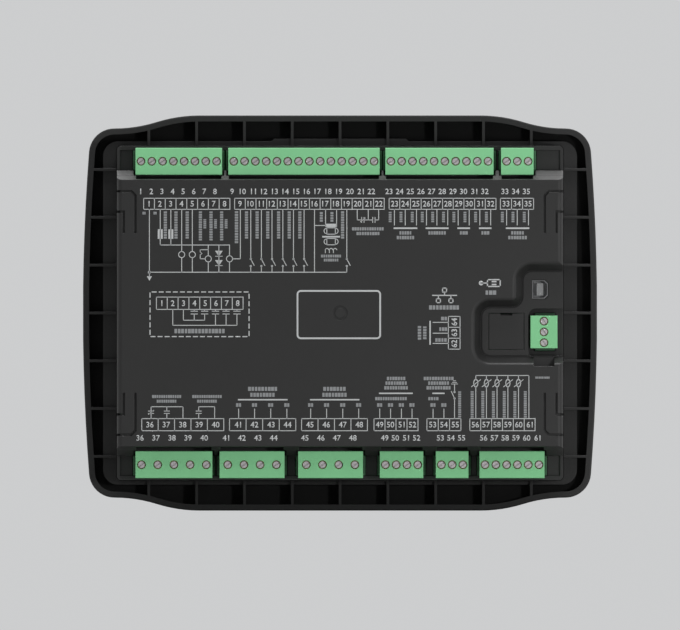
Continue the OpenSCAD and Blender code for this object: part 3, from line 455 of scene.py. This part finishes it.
def path(bm, points, width=fineLine):
    for start, end in zip(points, points[1:]):
        bar(bm, start, end, width)


def outline(bm, points):
    bm.faces.new([bm.verts.new((*p, 0)) for p in points])


def filledBox(bm, left, right, foot, top):
    outline(bm, [(left, foot), (right, foot), (right, top), (left, top)])


def frameBox(bm, left, right, foot, top, width=fineLine):
    path(bm, [(left, foot), (right, foot), (right, top), (left, top), (left, foot)], width)


def arc(bm, centre, radius, fromAngle=0.0, sweep=360.0, width=fineLine, stretch=1.0):
    start = math.radians(fromAngle)
    ends = [bm.verts.new(((radius + side * width / 2) * math.cos(start),
                          (radius + side * width / 2) * math.sin(start), 0)) for side in (-1, 1)]
    edge = bm.edges.new(ends)
    known = set(bm.verts) - set(ends)
    bmesh.ops.spin(bm, geom=[*ends, edge], axis=(0, 0, 1), cent=(0, 0, 0), angle=math.radians(sweep),
                   steps=max(arcSpec["fewest"], int(sweep / arcSpec["stepAngle"])), use_merge=sweep >= 360)
    place = Matrix.Translation((*centre, 0)) @ Matrix.Diagonal((1, stretch, 1, 1))
    bmesh.ops.transform(bm, matrix=place, verts=[v for v in bm.verts if v not in known])


def disc(bm, centre, radius, sides=16, turn=0.0):
    place = Matrix.Translation((*centre, 0)) @ Matrix.Rotation(math.radians(turn), 4, "Z")
    bmesh.ops.create_circle(bm, cap_ends=True, segments=sides, radius=radius, matrix=place)


def roundedFrame(bm, left, right, foot, top, corner, width, short=0.0):  # short: bars stop before the arcs
    for y in (foot, top):
        bar(bm, (left + corner + short, y), (right - corner - short, y), width)
    for x in (left, right):
        bar(bm, (x, foot + corner + short), (x, top - corner - short), width)
    centres = ((right - corner, top - corner), (left + corner, top - corner),
               (left + corner, foot + corner), (right - corner, foot + corner))
    for quarter, centre in enumerate(centres):
        arc(bm, centre, corner, quarter * 90, 90, width)


def standPrint(name, bm, turn, level, body, finish, thick=0.03, sunk=0.02):
    made = bmesh.ops.extrude_face_region(bm, geom=list(bm.faces))["geom"]
    bmesh.ops.translate(bm, verts=[g for g in made if isinstance(g, bmesh.types.BMVert)],
                        vec=(0, 0, thick + sunk))
    bmesh.ops.recalc_face_normals(bm, faces=bm.faces)
    place = turn @ Matrix.Translation((0, 0, level - sunk * mm)) @ Matrix.Diagonal((mm, mm, mm, 1))
    bmesh.ops.transform(bm, matrix=place, verts=bm.verts)
    bmesh.ops.recalc_face_normals(bm, faces=bm.faces)
    piece = newObject(name, bm)
    piece.data.materials.append(finish)
    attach(piece, body)


# Words and numbers

wordSpec = {"pitch": 0.78, "widths": (0.84, 0.74, 0.90, 0.66, 0.80, 0.76, 0.88)}


def wordBlocks(bm, centre, length, height, upright=False):  # a word as a row of small blocks
    count = max(1, round(length / (height * wordSpec["pitch"])))
    pitch = length / count
    for i in range(count):
        step = (i - (count - 1) / 2) * pitch
        wide = pitch * wordSpec["widths"][(i * 3 + count) % len(wordSpec["widths"])]
        if upright:
            spot, size = (centre[0], centre[1] + step, 0), (height, wide, 1, 1)
        else:
            spot, size = (centre[0] + step, centre[1], 0), (wide, height, 1, 1)
        bmesh.ops.create_grid(bm, x_segments=1, y_segments=1, size=0.5,
                              matrix=Matrix.Translation(spot) @ Matrix.Diagonal(size))


digitSpec = {"resolution": 3, "bolder": 0.014}
digitMeshes = {}


def numberMesh(text):  # one unit high, centred
    if text not in digitMeshes:
        curve = bpy.data.curves.new("number", "FONT")
        curve.body = text
        curve.align_x = "CENTER"
        curve.resolution_u = digitSpec["resolution"]
        curve.offset = digitSpec["bolder"]
        holder = bpy.data.objects.new("number", curve)
        scene.collection.objects.link(holder)
        bpy.context.view_layer.update()
        mesh = bpy.data.meshes.new_from_object(holder.evaluated_get(bpy.context.evaluated_depsgraph_get()))
        bpy.data.objects.remove(holder)
        bpy.data.curves.remove(curve)
        tall = [v.co.y for v in mesh.vertices]
        wide = [v.co.x for v in mesh.vertices]
        middle = Vector(((max(wide) + min(wide)) / 2, (max(tall) + min(tall)) / 2, 0))
        unit = 1 / (max(tall) - min(tall))
        mesh.transform(Matrix.Diagonal((unit, unit, unit, 1)) @ Matrix.Translation(-middle))
        digitMeshes[text] = mesh
    return digitMeshes[text]


def number(bm, value, centre, spec, turn=0.0):
    known = set(bm.verts)
    bm.from_mesh(numberMesh(str(value)))
    size = Matrix.Diagonal((spec["height"] * spec["stretch"], spec["height"], 1, 1))
    place = Matrix.Translation((*centre, 0)) @ Matrix.Rotation(math.radians(turn), 4, "Z") @ size
    bmesh.ops.transform(bm, matrix=place, verts=[v for v in bm.verts if v not in known])


# Terminal numbers: a plain row beside the plugs and a row of boxed cells

whiteInk = printedInk("whiteInk", (190, 192, 193))
numberSpec = {  # a group holds its first number, how many, where it starts and the pitch
    "height": 2.65,
    "stretch": 1.02,
    "rows": [
        {"up": 57.2, "groups": [(1, 8, -93.8, 4.99), (9, 14, -50.8, 5.04),
                                (23, 10, 23.0, 5.02), (33, 3, 77.6, 5.06)]},
        {"up": -58.8, "groups": [(36, 5, -94.1, 7.53), (41, 4, -53.7, 7.48), (45, 4, -16.6, 7.53),
                                 (49, 4, 21.0, 5.01), (53, 3, 47.2, 4.99), (56, 6, 67.6, 5.06)]},
    ],
}
bm = bmesh.new()
for row in numberSpec["rows"]:
    for first, count, left, pitch in row["groups"]:
        for i in range(count):
            number(bm, first + i, (left + i * pitch, row["up"]), numberSpec)
standPrint("terminalNumbers", bm, rearTurn, plateLevel, "controller", whiteInk)

cellSpec = {  # a group holds its first number, how many, and its left and right ends
    "height": 2.75,
    "stretch": 0.98,
    "rows": [
        {"foot": 48.8, "top": 54.0, "groups": [(1, 8, -92.4, -51.8), (9, 14, -49.6, 20.8),
                                               (23, 10, 23.1, 73.4), (33, 3, 75.5, 91.1)]},
        {"foot": -55.4, "top": -49.7, "groups": [(36, 5, -93.3, -54.7), (41, 4, -52.0, -20.8),
                                                 (45, 4, -18.1, 12.9), (49, 4, 16.0, 36.7),
                                                 (53, 3, 40.9, 56.9), (56, 6, 61.1, 91.8)]},
        {"foot": 1.7, "top": 7.5, "groups": [(1, 8, -86.4, -45.6)]},
    ],
    "serial": {"left": 51.0, "right": 56.5, "foot": -17.0, "top": -1.6, "first": 62, "count": 3},
}
bm = bmesh.new()
for row in cellSpec["rows"]:
    middle = (row["foot"] + row["top"]) / 2
    for first, count, left, right in row["groups"]:
        frameBox(bm, left, right, row["foot"], row["top"])
        pitch = (right - left) / count
        for i in range(count):
            number(bm, first + i, (left + (i + 0.5) * pitch, middle), cellSpec)
            if i:
                bar(bm, (left + i * pitch, row["foot"]), (left + i * pitch, row["top"]))
column = cellSpec["serial"]
frameBox(bm, column["left"], column["right"], column["foot"], column["top"])
middle = (column["left"] + column["right"]) / 2
pitch = (column["top"] - column["foot"]) / column["count"]
for i in range(column["count"]):
    number(bm, column["first"] + i, (middle, column["foot"] + (i + 0.5) * pitch), cellSpec, 90)
    if i:
        bar(bm, (column["left"], column["foot"] + i * pitch), (column["right"], column["foot"] + i * pitch))
standPrint("numberCells", bm, rearTurn, plateLevel, "controller", whiteInk)
print("terminal numbers drawn")


# Wiring diagram of the upper terminals

upperSpec = {
    "cells": 48.8,
    "bus": {"up": 19.2, "left": -89.7, "right": 3.2, "width": 0.396},
    "arrow": {"stem": 2.0, "dot": 0.7, "drop": 2.6, "radius": 1.4},
    "joint": {"up": 32.0, "left": -84.6, "right": -52.0},
    "fuses": {"across": (-84.6, -79.6), "half": 1.15, "foot": 34.9, "top": 39.4},
    "coils": {"across": (-74.5, -69.5), "up": 27.5},
    "lamps": {"across": (-62.0, -52.0), "up": 25.5},
    "loop": [(-62.0, 29.8), (-65.8, 29.8), (-65.8, 28.6), (-64.9, 28.0), (-65.8, 27.4), (-65.8, 25.5),
             (-63.6, 25.5)],
    "diodes": {"across": -57.0, "ups": (28.0, 23.6), "half": 1.8, "rise": 1.3, "fall": 1.4,
               "strokeHalf": 1.6, "strokeWidth": 0.288},
    "charge": [(-50.4, 25.5), (-46.9, 25.5), (-46.9, 48.8)],
    "switches": {"across": (-42.0, -37.0, -32.0, -26.9, -21.9, -16.9, 3.2), "top": 25.4, "foot": 22.1},
    "common": -12.0,
}
ringSpec = {"radius": 1.45, "lead": 1.6}
bladeSpec = {"lean": 1.6, "short": 0.3, "dot": 0.5}


def ringOnLine(bm, x, top, up, foot):
    bar(bm, (x, top), (x, up + ringSpec["lead"]))
    arc(bm, (x, up), ringSpec["radius"])
    bar(bm, (x, up - ringSpec["lead"]), (x, foot))


def switchBlade(bm, x, hinge, tip, lean=bladeSpec["lean"]):
    bar(bm, (x, hinge), (x + lean, tip + bladeSpec["short"]))
    for up in (hinge, tip):
        disc(bm, (x, up), bladeSpec["dot"])


def contactOnLine(bm, x, top, foot, spec, crossed=False):  # two short strokes part an upright line
    up, half = spec["up"], spec["half"]
    bar(bm, (x, top), (x, up + spec["lead"]))
    for side in (-0.5, 0.5):
        bar(bm, (x - half, up + side * spec["gap"]), (x + half, up + side * spec["gap"]))
    if crossed:
        bar(bm, (x - half, up - spec["slant"]), (x + half, up + spec["slant"]))
    bar(bm, (x, up - spec["lead"]), (x, foot))


bm = bmesh.new()
cells, bus, joint = upperSpec["cells"], upperSpec["bus"], upperSpec["joint"]
arrow = upperSpec["arrow"]
bar(bm, (bus["left"], cells), (bus["left"], bus["up"] - arrow["stem"]))
disc(bm, (bus["left"], bus["up"]), arrow["dot"])
disc(bm, (bus["left"], bus["up"] - arrow["drop"]), arrow["radius"], 3, 180)

fuses = upperSpec["fuses"]
for x in fuses["across"]:
    bar(bm, (x, cells), (x, joint["up"]))
    filledBox(bm, x - fuses["half"], x + fuses["half"], fuses["foot"], fuses["top"])
bar(bm, (joint["left"], joint["up"]), (joint["right"], joint["up"]))
for ring, top in ((upperSpec["coils"], cells), (upperSpec["lamps"], joint["up"])):
    for x in ring["across"]:
        ringOnLine(bm, x, top, ring["up"], bus["up"])
path(bm, upperSpec["loop"])

diodes = upperSpec["diodes"]
x = diodes["across"]
bar(bm, (x, joint["up"]), (x, bus["up"]))
for up in diodes["ups"]:
    outline(bm, [(x - diodes["half"], up + diodes["rise"]), (x, up - diodes["fall"]),
                 (x + diodes["half"], up + diodes["rise"])])
    stroke = [(x + side * diodes["strokeHalf"], up - diodes["rise"]) for side in (-1, 1)]
    bar(bm, *stroke, diodes["strokeWidth"])
path(bm, upperSpec["charge"])

switches = upperSpec["switches"]
for x in switches["across"]:
    bar(bm, (x, cells), (x, switches["top"]))
    switchBlade(bm, x, switches["top"], switches["foot"])
    bar(bm, (x, switches["foot"]), (x, bus["up"]))
bar(bm, (upperSpec["common"], cells), (upperSpec["common"], bus["up"]))
bar(bm, (bus["left"], bus["up"]), (bus["right"], bus["up"]), bus["width"])

# Pick-up coil: two windings on a bar, and the wave below it
pickupSpec = {
    "left": -6.8, "right": -1.6, "feedUp": 41.2, "leadFoot": 40.8, "bandFoot": 40.4, "bandTop": 42.0,
    "windings": {"ups": (38.6, 33.6), "left": -6.2, "right": -2.2, "half": 1.5, "round": 1.3},
    "core": {"left": -8.0, "right": -0.4, "up": 35.9, "width": 0.75},
    "wave": {"left": -6.1, "pitch": 1.9, "count": 3, "up": 29.6, "radius": 0.8, "foot": 28.4},
}
bar(bm, (upperSpec["common"], pickupSpec["feedUp"]), (pickupSpec["left"], pickupSpec["feedUp"]))
for x in (pickupSpec["left"], pickupSpec["right"]):
    bar(bm, (x, cells), (x, pickupSpec["leadFoot"]))
filledBox(bm, pickupSpec["left"], pickupSpec["right"], pickupSpec["bandFoot"], pickupSpec["bandTop"])
windings = pickupSpec["windings"]
for up in windings["ups"]:
    frameBox(bm, windings["left"], windings["right"], up - windings["half"], up + windings["half"])
    for x, start in ((windings["left"], 90), (windings["right"], -90)):
        arc(bm, (x, up), windings["round"], start, 180)
core, wave = pickupSpec["core"], pickupSpec["wave"]
bar(bm, (core["left"], core["up"]), (core["right"], core["up"]), core["width"])
for i in range(wave["count"]):
    x = wave["left"] + i * wave["pitch"]
    arc(bm, (x, wave["up"]), wave["radius"], 0, 180)
    bar(bm, (x - wave["radius"], wave["up"]), (x - wave["radius"], wave["foot"]))

# Change-over contact on the relay terminals
relaySpec = {"left": 8.1, "middle": 13.3, "right": 18.2, "up": 43.8, "contacts": (10.75, 15.95),
             "gap": 0.55, "half": 1.2, "slant": (1.1, 0.9)}
up, gap = relaySpec["up"], relaySpec["gap"]
closed, opened = relaySpec["contacts"]
slantWide, slantTall = relaySpec["slant"]
path(bm, [(relaySpec["left"], cells), (relaySpec["left"], up), (closed - gap, up)])
bar(bm, (closed + gap, up), (opened - gap, up))
bar(bm, (relaySpec["middle"], cells), (relaySpec["middle"], up))
path(bm, [(opened + gap, up), (relaySpec["right"], up), (relaySpec["right"], cells)])
for x in (closed - gap, closed + gap, opened - gap, opened + gap):
    bar(bm, (x, up - relaySpec["half"]), (x, up + relaySpec["half"]))
bar(bm, (closed - slantWide, up - slantTall), (closed + slantWide, up + slantTall))

# Grouped terminals: columns, length of the caption and its rows
groupSpec = {
    "foot": 41.4, "bar": 39.9, "barWidth": 0.75,
    "groups": [([25.6, 30.7, 36.0], 8.4, 2), ([40.7, 45.6, 50.7], 8.4, 1), ([55.6, 60.8], 4.0, 1),
               ([65.8, 70.9], 4.0, 1), ([78.4, 83.4, 88.7], 9.0, 2)],
    "caption": {"top": 37.7, "step": 2.2, "height": 1.6, "firstShare": 0.7},
    "side": {"away": 2.0, "up": 45.2, "length": 5.2, "height": 1.35},
}
for columns, _, _ in groupSpec["groups"]:
    for x in columns:
        bar(bm, (x, cells), (x, groupSpec["foot"]))
    bar(bm, (columns[0], groupSpec["bar"]), (columns[-1], groupSpec["bar"]), groupSpec["barWidth"])
standPrint("upperDiagram", bm, rearTurn, plateLevel, "controller", whiteInk)
print("upper diagram drawn")


# Inner diagram in its dashed frame, and the plain outline round the middle

innerSpec = {
    "left": -89.4, "right": -42.8, "foot": -11.1, "top": 9.9,
    "dash": 1.9, "space": 1.6, "lead": 0.15, "dashWidth": 0.5,
    "cells": 1.7,
    "rails": [{"from": -78.7, "up": -5.8, "to": (-58.6, -53.6, -48.5)},
              {"from": -73.7, "up": -3.4, "to": (-68.6, -63.7)}],
    "contact": {"up": 0.2, "half": 1.5, "gap": 1.3, "lead": 0.7},
}


def dashes(bm, start, end, spec):
    a, b = Vector(start), Vector(end)
    pitch = spec["dash"] + spec["space"]
    count = round(((b - a).length + spec["space"]) / pitch)
    step = (b - a) / count
    for i in range(count):
        first = a + step * (i + spec["lead"])
        bar(bm, first, first + step * (spec["dash"] / pitch), spec["dashWidth"])


bm = bmesh.new()
corners = [(innerSpec["left"], innerSpec["foot"]), (innerSpec["right"], innerSpec["foot"]),
           (innerSpec["right"], innerSpec["top"]), (innerSpec["left"], innerSpec["top"])]
for start, end in zip(corners, corners[1:] + corners[:1]):
    dashes(bm, start, end, innerSpec)
for rail in innerSpec["rails"]:
    path(bm, [(rail["from"], innerSpec["cells"]), (rail["from"], rail["up"]), (rail["to"][-1], rail["up"])])
    for x in rail["to"]:
        contactOnLine(bm, x, innerSpec["cells"], rail["up"], innerSpec["contact"])
standPrint("innerDiagram", bm, rearTurn, plateLevel, "controller", whiteInk)

middleSpec = {"left": -20.0, "right": 18.9, "foot": -11.9, "top": 10.4, "corner": 1.6, "width": 0.8,
              "short": 0.4}
bm = bmesh.new()
roundedFrame(bm, **middleSpec)
standPrint("middleOutline", bm, rearTurn, plateLevel, "controller", whiteInk)
print("inner diagram drawn")


# Lines above the lower terminals

lowerSpec = {
    "cells": -49.7,
    "relays": [([-88.9, -81.5, -73.9], 2), ([-66.5, -59.0], 1)],
    "relayTop": -44.1,
    "contact": {"up": -46.7, "half": 1.2, "gap": 1.1, "lead": 0.6, "slant": 0.96},
    "stubTop": -45.2,
    "stubs": [([-47.7, -40.2, -32.6, -25.0], -40.8), ([-13.8, -6.3, 1.3, 8.8], -40.8),
              ([18.7, 23.8, 28.9, 33.9], -37.8), ([43.8, 48.9], -37.8)],
    "underWidth": 0.65,
    "earth": {"across": 53.9, "hinge": -40.2, "tip": -37.2, "lean": -1.5, "stemTop": -33.6,
              "plates": -33.4, "step": 0.75, "halves": (1.5, 1.0, 0.5), "width": 0.288},
}
bm = bmesh.new()
cells, relayTop = lowerSpec["cells"], lowerSpec["relayTop"]
for columns, contacts in lowerSpec["relays"]:
    bar(bm, (columns[0], relayTop), (columns[-1], relayTop))
    for i, x in enumerate(columns[:contacts]):
        contactOnLine(bm, x, relayTop, cells, lowerSpec["contact"], i == 0 and contacts == 2)
    for x in columns[contacts:]:
        bar(bm, (x, relayTop), (x, cells))
for columns, under in lowerSpec["stubs"]:
    for x in columns:
        bar(bm, (x, cells), (x, lowerSpec["stubTop"]))
    bar(bm, (columns[0], under), (columns[-1], under), lowerSpec["underWidth"])

earth = lowerSpec["earth"]
x = earth["across"]
bar(bm, (x, cells), (x, earth["hinge"]))
switchBlade(bm, x, earth["hinge"], earth["tip"], earth["lean"])
bar(bm, (x, earth["tip"]), (x, earth["stemTop"]))
for i, half in enumerate(earth["halves"]):
    up = earth["plates"] + i * earth["step"]
    bar(bm, (x - half, up), (x + half, up), earth["width"])

sensorSpec = {"across": [63.9, 68.9, 73.9, 79.0, 84.0], "common": 88.9, "top": -29.4, "up": -33.0,
              "radius": 1.0, "stretch": 1.75, "lead": 1.7, "slant": ((-2.0, -1.7), (2.2, 1.6))}
top, up, lead = sensorSpec["top"], sensorSpec["up"], sensorSpec["lead"]
for x in sensorSpec["across"]:
    bar(bm, (x, top), (x, up + lead))
    arc(bm, (x, up), sensorSpec["radius"], stretch=sensorSpec["stretch"])
    path(bm, [(x + across, up + rise) for across, rise in sensorSpec["slant"]])
    bar(bm, (x, up - lead), (x, cells))
path(bm, [(sensorSpec["across"][0], top), (sensorSpec["common"], top), (sensorSpec["common"], cells)])
standPrint("lowerDiagram", bm, rearTurn, plateLevel, "controller", whiteInk)


# Socket symbols and the serial lines

serialSpec = {"left": 43.8, "right": 51.0, "ups": (-4.4, -9.5, -14.3),
              "bracket": {"across": 42.4, "top": -4.0, "foot": -14.6, "width": 0.65}}
networkSpec = {"left": 43.6, "right": 54.8, "up": 8.3, "width": 0.5, "half": 0.95, "stubHalf": 0.5,
               "boxes": [(49.2, 10.8, 9.1), (46.3, 5.8, 7.6), (52.2, 5.8, 7.6)]}
serviceSpec = {"left": 69.4, "right": 75.4, "foot": 12.5, "top": 15.7, "width": 0.55,
            "slots": (13.4, 14.8), "slotLeft": 71.4, "slotRight": 73.6, "slotHalf": 0.35,
            "end": 66.4, "up": 14.1, "radius": 1.1, "sides": 20}
bm = bmesh.new()
for up in serialSpec["ups"]:
    bar(bm, (serialSpec["left"], up), (serialSpec["right"], up))
bracket = serialSpec["bracket"]
bar(bm, (bracket["across"], bracket["top"]), (bracket["across"], bracket["foot"]), bracket["width"])

width, half, stubHalf = networkSpec["width"], networkSpec["half"], networkSpec["stubHalf"]
bar(bm, (networkSpec["left"], networkSpec["up"]), (networkSpec["right"], networkSpec["up"]), width)
for x, up, stub in networkSpec["boxes"]:
    frameBox(bm, x - half, x + half, up - half, up + half, width)
    bar(bm, (x, stub - stubHalf), (x, stub + stubHalf), width)

left, up, end, width = (serviceSpec[k] for k in ("left", "up", "end", "width"))
frameBox(bm, left, serviceSpec["right"], serviceSpec["foot"], serviceSpec["top"], width)
for slot in serviceSpec["slots"]:
    filledBox(bm, serviceSpec["slotLeft"], serviceSpec["slotRight"],
              slot - serviceSpec["slotHalf"], slot + serviceSpec["slotHalf"])
bar(bm, (end, up), (left, up), width)
disc(bm, (end, up), serviceSpec["radius"], serviceSpec["sides"])
standPrint("socketSymbols", bm, rearTurn, plateLevel, "controller", whiteInk)


# Captions, as rows of plain blocks: centre, length, height

captionSpec = {
    "level": [
        (13.1, 39.6, 15.0, 1.5), (13.2, 37.4, 11.0, 1.5), (-4.2, 26.8, 9.6, 1.3), (-4.2, 24.9, 7.0, 1.3),
        (-66.1, -8.5, 24.0, 2.1), (49.0, 2.6, 14.3, 2.0), (70.9, 9.6, 5.4, 2.0),
        (-81.6, -39.3, 13.8, 1.4), (-81.6, -41.5, 9.4, 1.4),
        (-62.6, -39.3, 14.0, 1.4), (-62.6, -41.5, 9.4, 1.4),
        (-36.4, -35.7, 13.9, 1.9), (-36.5, -38.5, 11.8, 1.9),
        (-2.6, -35.7, 10.8, 1.9), (-2.6, -38.5, 11.8, 1.9),
        (26.4, -30.8, 8.9, 1.6), (26.4, -33.0, 10.3, 1.6), (26.4, -35.2, 11.3, 1.6),
        (46.4, -30.8, 14.3, 1.6), (46.4, -33.0, 10.1, 1.6), (46.4, -35.2, 11.5, 1.6),
        (24.0, -40.3, 15.0, 1.5), (43.9, -40.3, 5.0, 1.5),
        (49.0, -2.6, 3.0, 1.7), (48.5, -7.6, 4.0, 1.7), (47.5, -12.7, 5.6, 1.7), (95.3, -30.4, 6.8, 1.0),
        (-92.2, 47.0, 1.6, 1.3), (-87.0, 47.0, 1.6, 1.3),
    ],
    "upright": [
        *[(x, 41.4, 13.0, 1.5) for x in (-82.2, -77.2, -71.9)],
        *[(x, 41.0, 14.0, 1.5) for x in (-65.7, -60.7, -55.7)],
        *[(x, 42.0, 4.6, 1.3) for x in (-63.6, -58.6, -53.6)], (-48.7, 40.4, 15.4, 1.6),
        *[(x, 41.4, 13.0, 1.5) for x in (-44.0, -39.0, -34.0, -28.9, -23.9, -18.9, 1.2)],
        *[(x, 45.2, 4.8, 1.4) for x in (-8.8, -3.8)], (56.3, -43.0, 12.6, 1.4),
        *[(x - 1.7, -43.0, 12.8, 1.4) for x in [*sensorSpec["across"], sensorSpec["common"]]],
        (37.4, -9.3, 6.8, 1.6), (39.9, -9.3, 6.4, 1.6),
    ],
}
caption, side = groupSpec["caption"], groupSpec["side"]
for columns, length, rows in groupSpec["groups"]:
    middle = (columns[0] + columns[-1]) / 2
    for i in range(rows):
        share = caption["firstShare"] if i == 0 and rows == 2 else 1.0
        up = caption["top"] - caption["step"] * i
        captionSpec["level"].append((middle, up, length * share, caption["height"]))
    for x in columns:
        captionSpec["upright"].append((x - side["away"], side["up"], side["length"], side["height"]))
for columns, _ in lowerSpec["stubs"]:
    captionSpec["level"] += [(x, -43.3, 2.6, 1.7) for x in columns]
bm = bmesh.new()
for way in captionSpec:
    for x, y, length, height in captionSpec[way]:
        wordBlocks(bm, (x, y), length, height, way == "upright")
captionInk = printedInk("captionInk", (140, 142, 144))
standPrint("captionBlocks", bm, rearTurn, plateLevel, "controller", captionInk)
print("captions drawn")


# Signs on the keys, seen from the display side: how each is drawn, about the key's middle

keySpec = {"roundWidth": 18.5, "dish": 0.3, "thick": 0.08, "sunk": 0.1}
line = 0.55
signSpec = {
    "stop_key": [(arc, (0, 0), 2.5, 0, 360, 0.75)],
    "start_key": [(bar, (0, -2.2), (0, 2.2), 0.8)],
    "manual_key": [(bar, (-1.8, 1.6), (1.8, 1.6), line), (bar, (0, 1.6), (0, -0.4), line),
                   (path, [(-2.2, -0.2), (-2.2, -1.8), (2.2, -1.8), (2.2, -0.2)], line)],
    "test_key": [(arc, (0, 0), 2.4, 0, 360, line), (disc, (0, 0), 0.9)],
    "auto_key": [(arc, (0, 0), 2.2, 60, 280, line), (disc, (1.9, -1.1), 1.1, 3, 160)],
    "mute_key": [(outline, [(-2.2, -0.8), (-1.2, -0.8), (0.4, -2.1), (0.4, 2.1), (-1.2, 0.8), (-2.2, 0.8)]),
                 (bar, (1.2, -1.0), (2.6, 1.0), line), (bar, (1.2, 1.0), (2.6, -1.0), line)],
    "generator_key": [(arc, (0, 0), 2.5, 0, 360, line), (arc, (-0.75, 0), 0.75, 0, 180, line),
                      (arc, (0.75, 0), 0.75, 180, 180, line)],
    "mains_key": [(outline, [(0.6, 2.7), (-1.6, -0.4), (-0.2, -0.4)]),
                  (outline, [(-0.6, -2.7), (1.6, 0.4), (0.2, 0.4)]), (filledBox, -0.2, 0.2, -0.4, 0.4)],
    "up_key": [(disc, (0, -0.4), 2.2, 3)],
    "down_key": [(disc, (0, 0.4), 2.2, 3, 180)],
    "enter_key": [(path, [(2.2, 1.8), (2.2, -0.6), (-1.2, -0.6)], line), (disc, (-1.6, -0.6), 1.2, 3, 90)],
    "exit_key": [(bar, (-1.6, -1.6), (1.6, 1.6), line), (bar, (-1.6, 1.6), (1.6, -1.6), line)],
}
signInk = printedInk("signInk", (226, 228, 229))
keyNodes = [n for n in frame["nodes"] if n.endswith("_key")]
for key in keyNodes:
    low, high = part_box(key)
    bm = bmesh.new()
    for draw, *form in signSpec[key]:
        draw(bm, *form)
    dished = high.x - low.x < keySpec["roundWidth"] * mm
    face = -low.y - (keySpec["dish"] * mm if dished else 0.0)
    across, upward = (low.x + high.x) / 2 / mm, (low.z + high.z) / 2 / mm
    bmesh.ops.translate(bm, verts=bm.verts, vec=(across, upward, 0))
    body = frame["nodes"][key]["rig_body"]
    name = key.replace("_key", "Sign")
    standPrint(name, bm, frontTurn, face, body, signInk, keySpec["thick"], keySpec["sunk"])
print("key signs on", len(keyNodes), "keys")


# Fascia print: a thin border, a rule above the row of keys and a dark field round the display

fasciaSpec = {
    "border": {"left": -104.0, "right": 104.0, "foot": -76.0, "top": 76.0, "corner": 5.0, "width": 0.6},
    "rule": {"up": -27.0, "half": 96.0, "width": 0.6},
    "field": {"width": 4.0, "past": 1.8},
}
fasciaInk = printedInk("fasciaInk", (150, 156, 161))
bm = bmesh.new()
roundedFrame(bm, **fasciaSpec["border"])
rule = fasciaSpec["rule"]
bar(bm, (-rule["half"], rule["up"]), (rule["half"], rule["up"]), rule["width"])
standPrint("fasciaLines", bm, frontTurn, fasciaLevel, "controller", fasciaInk)

width, past = fasciaSpec["field"]["width"], fasciaSpec["field"]["past"]
left, right = lensLow.x / mm + past - width / 2, lensHigh.x / mm - past + width / 2
foot, top = lensLow.z / mm + past - width / 2, lensHigh.z / mm - past + width / 2
blackInk = printedInk("blackInk", (20, 21, 22))
bm = bmesh.new()
for y in (foot, top):
    bar(bm, (left, y), (right, y), width)
for x in (left, right):
    bar(bm, (x, foot + width), (x, top - width), width)
standPrint("displayBorder", bm, frontTurn, fasciaLevel, "controller", blackInk)
print("fascia drawn")
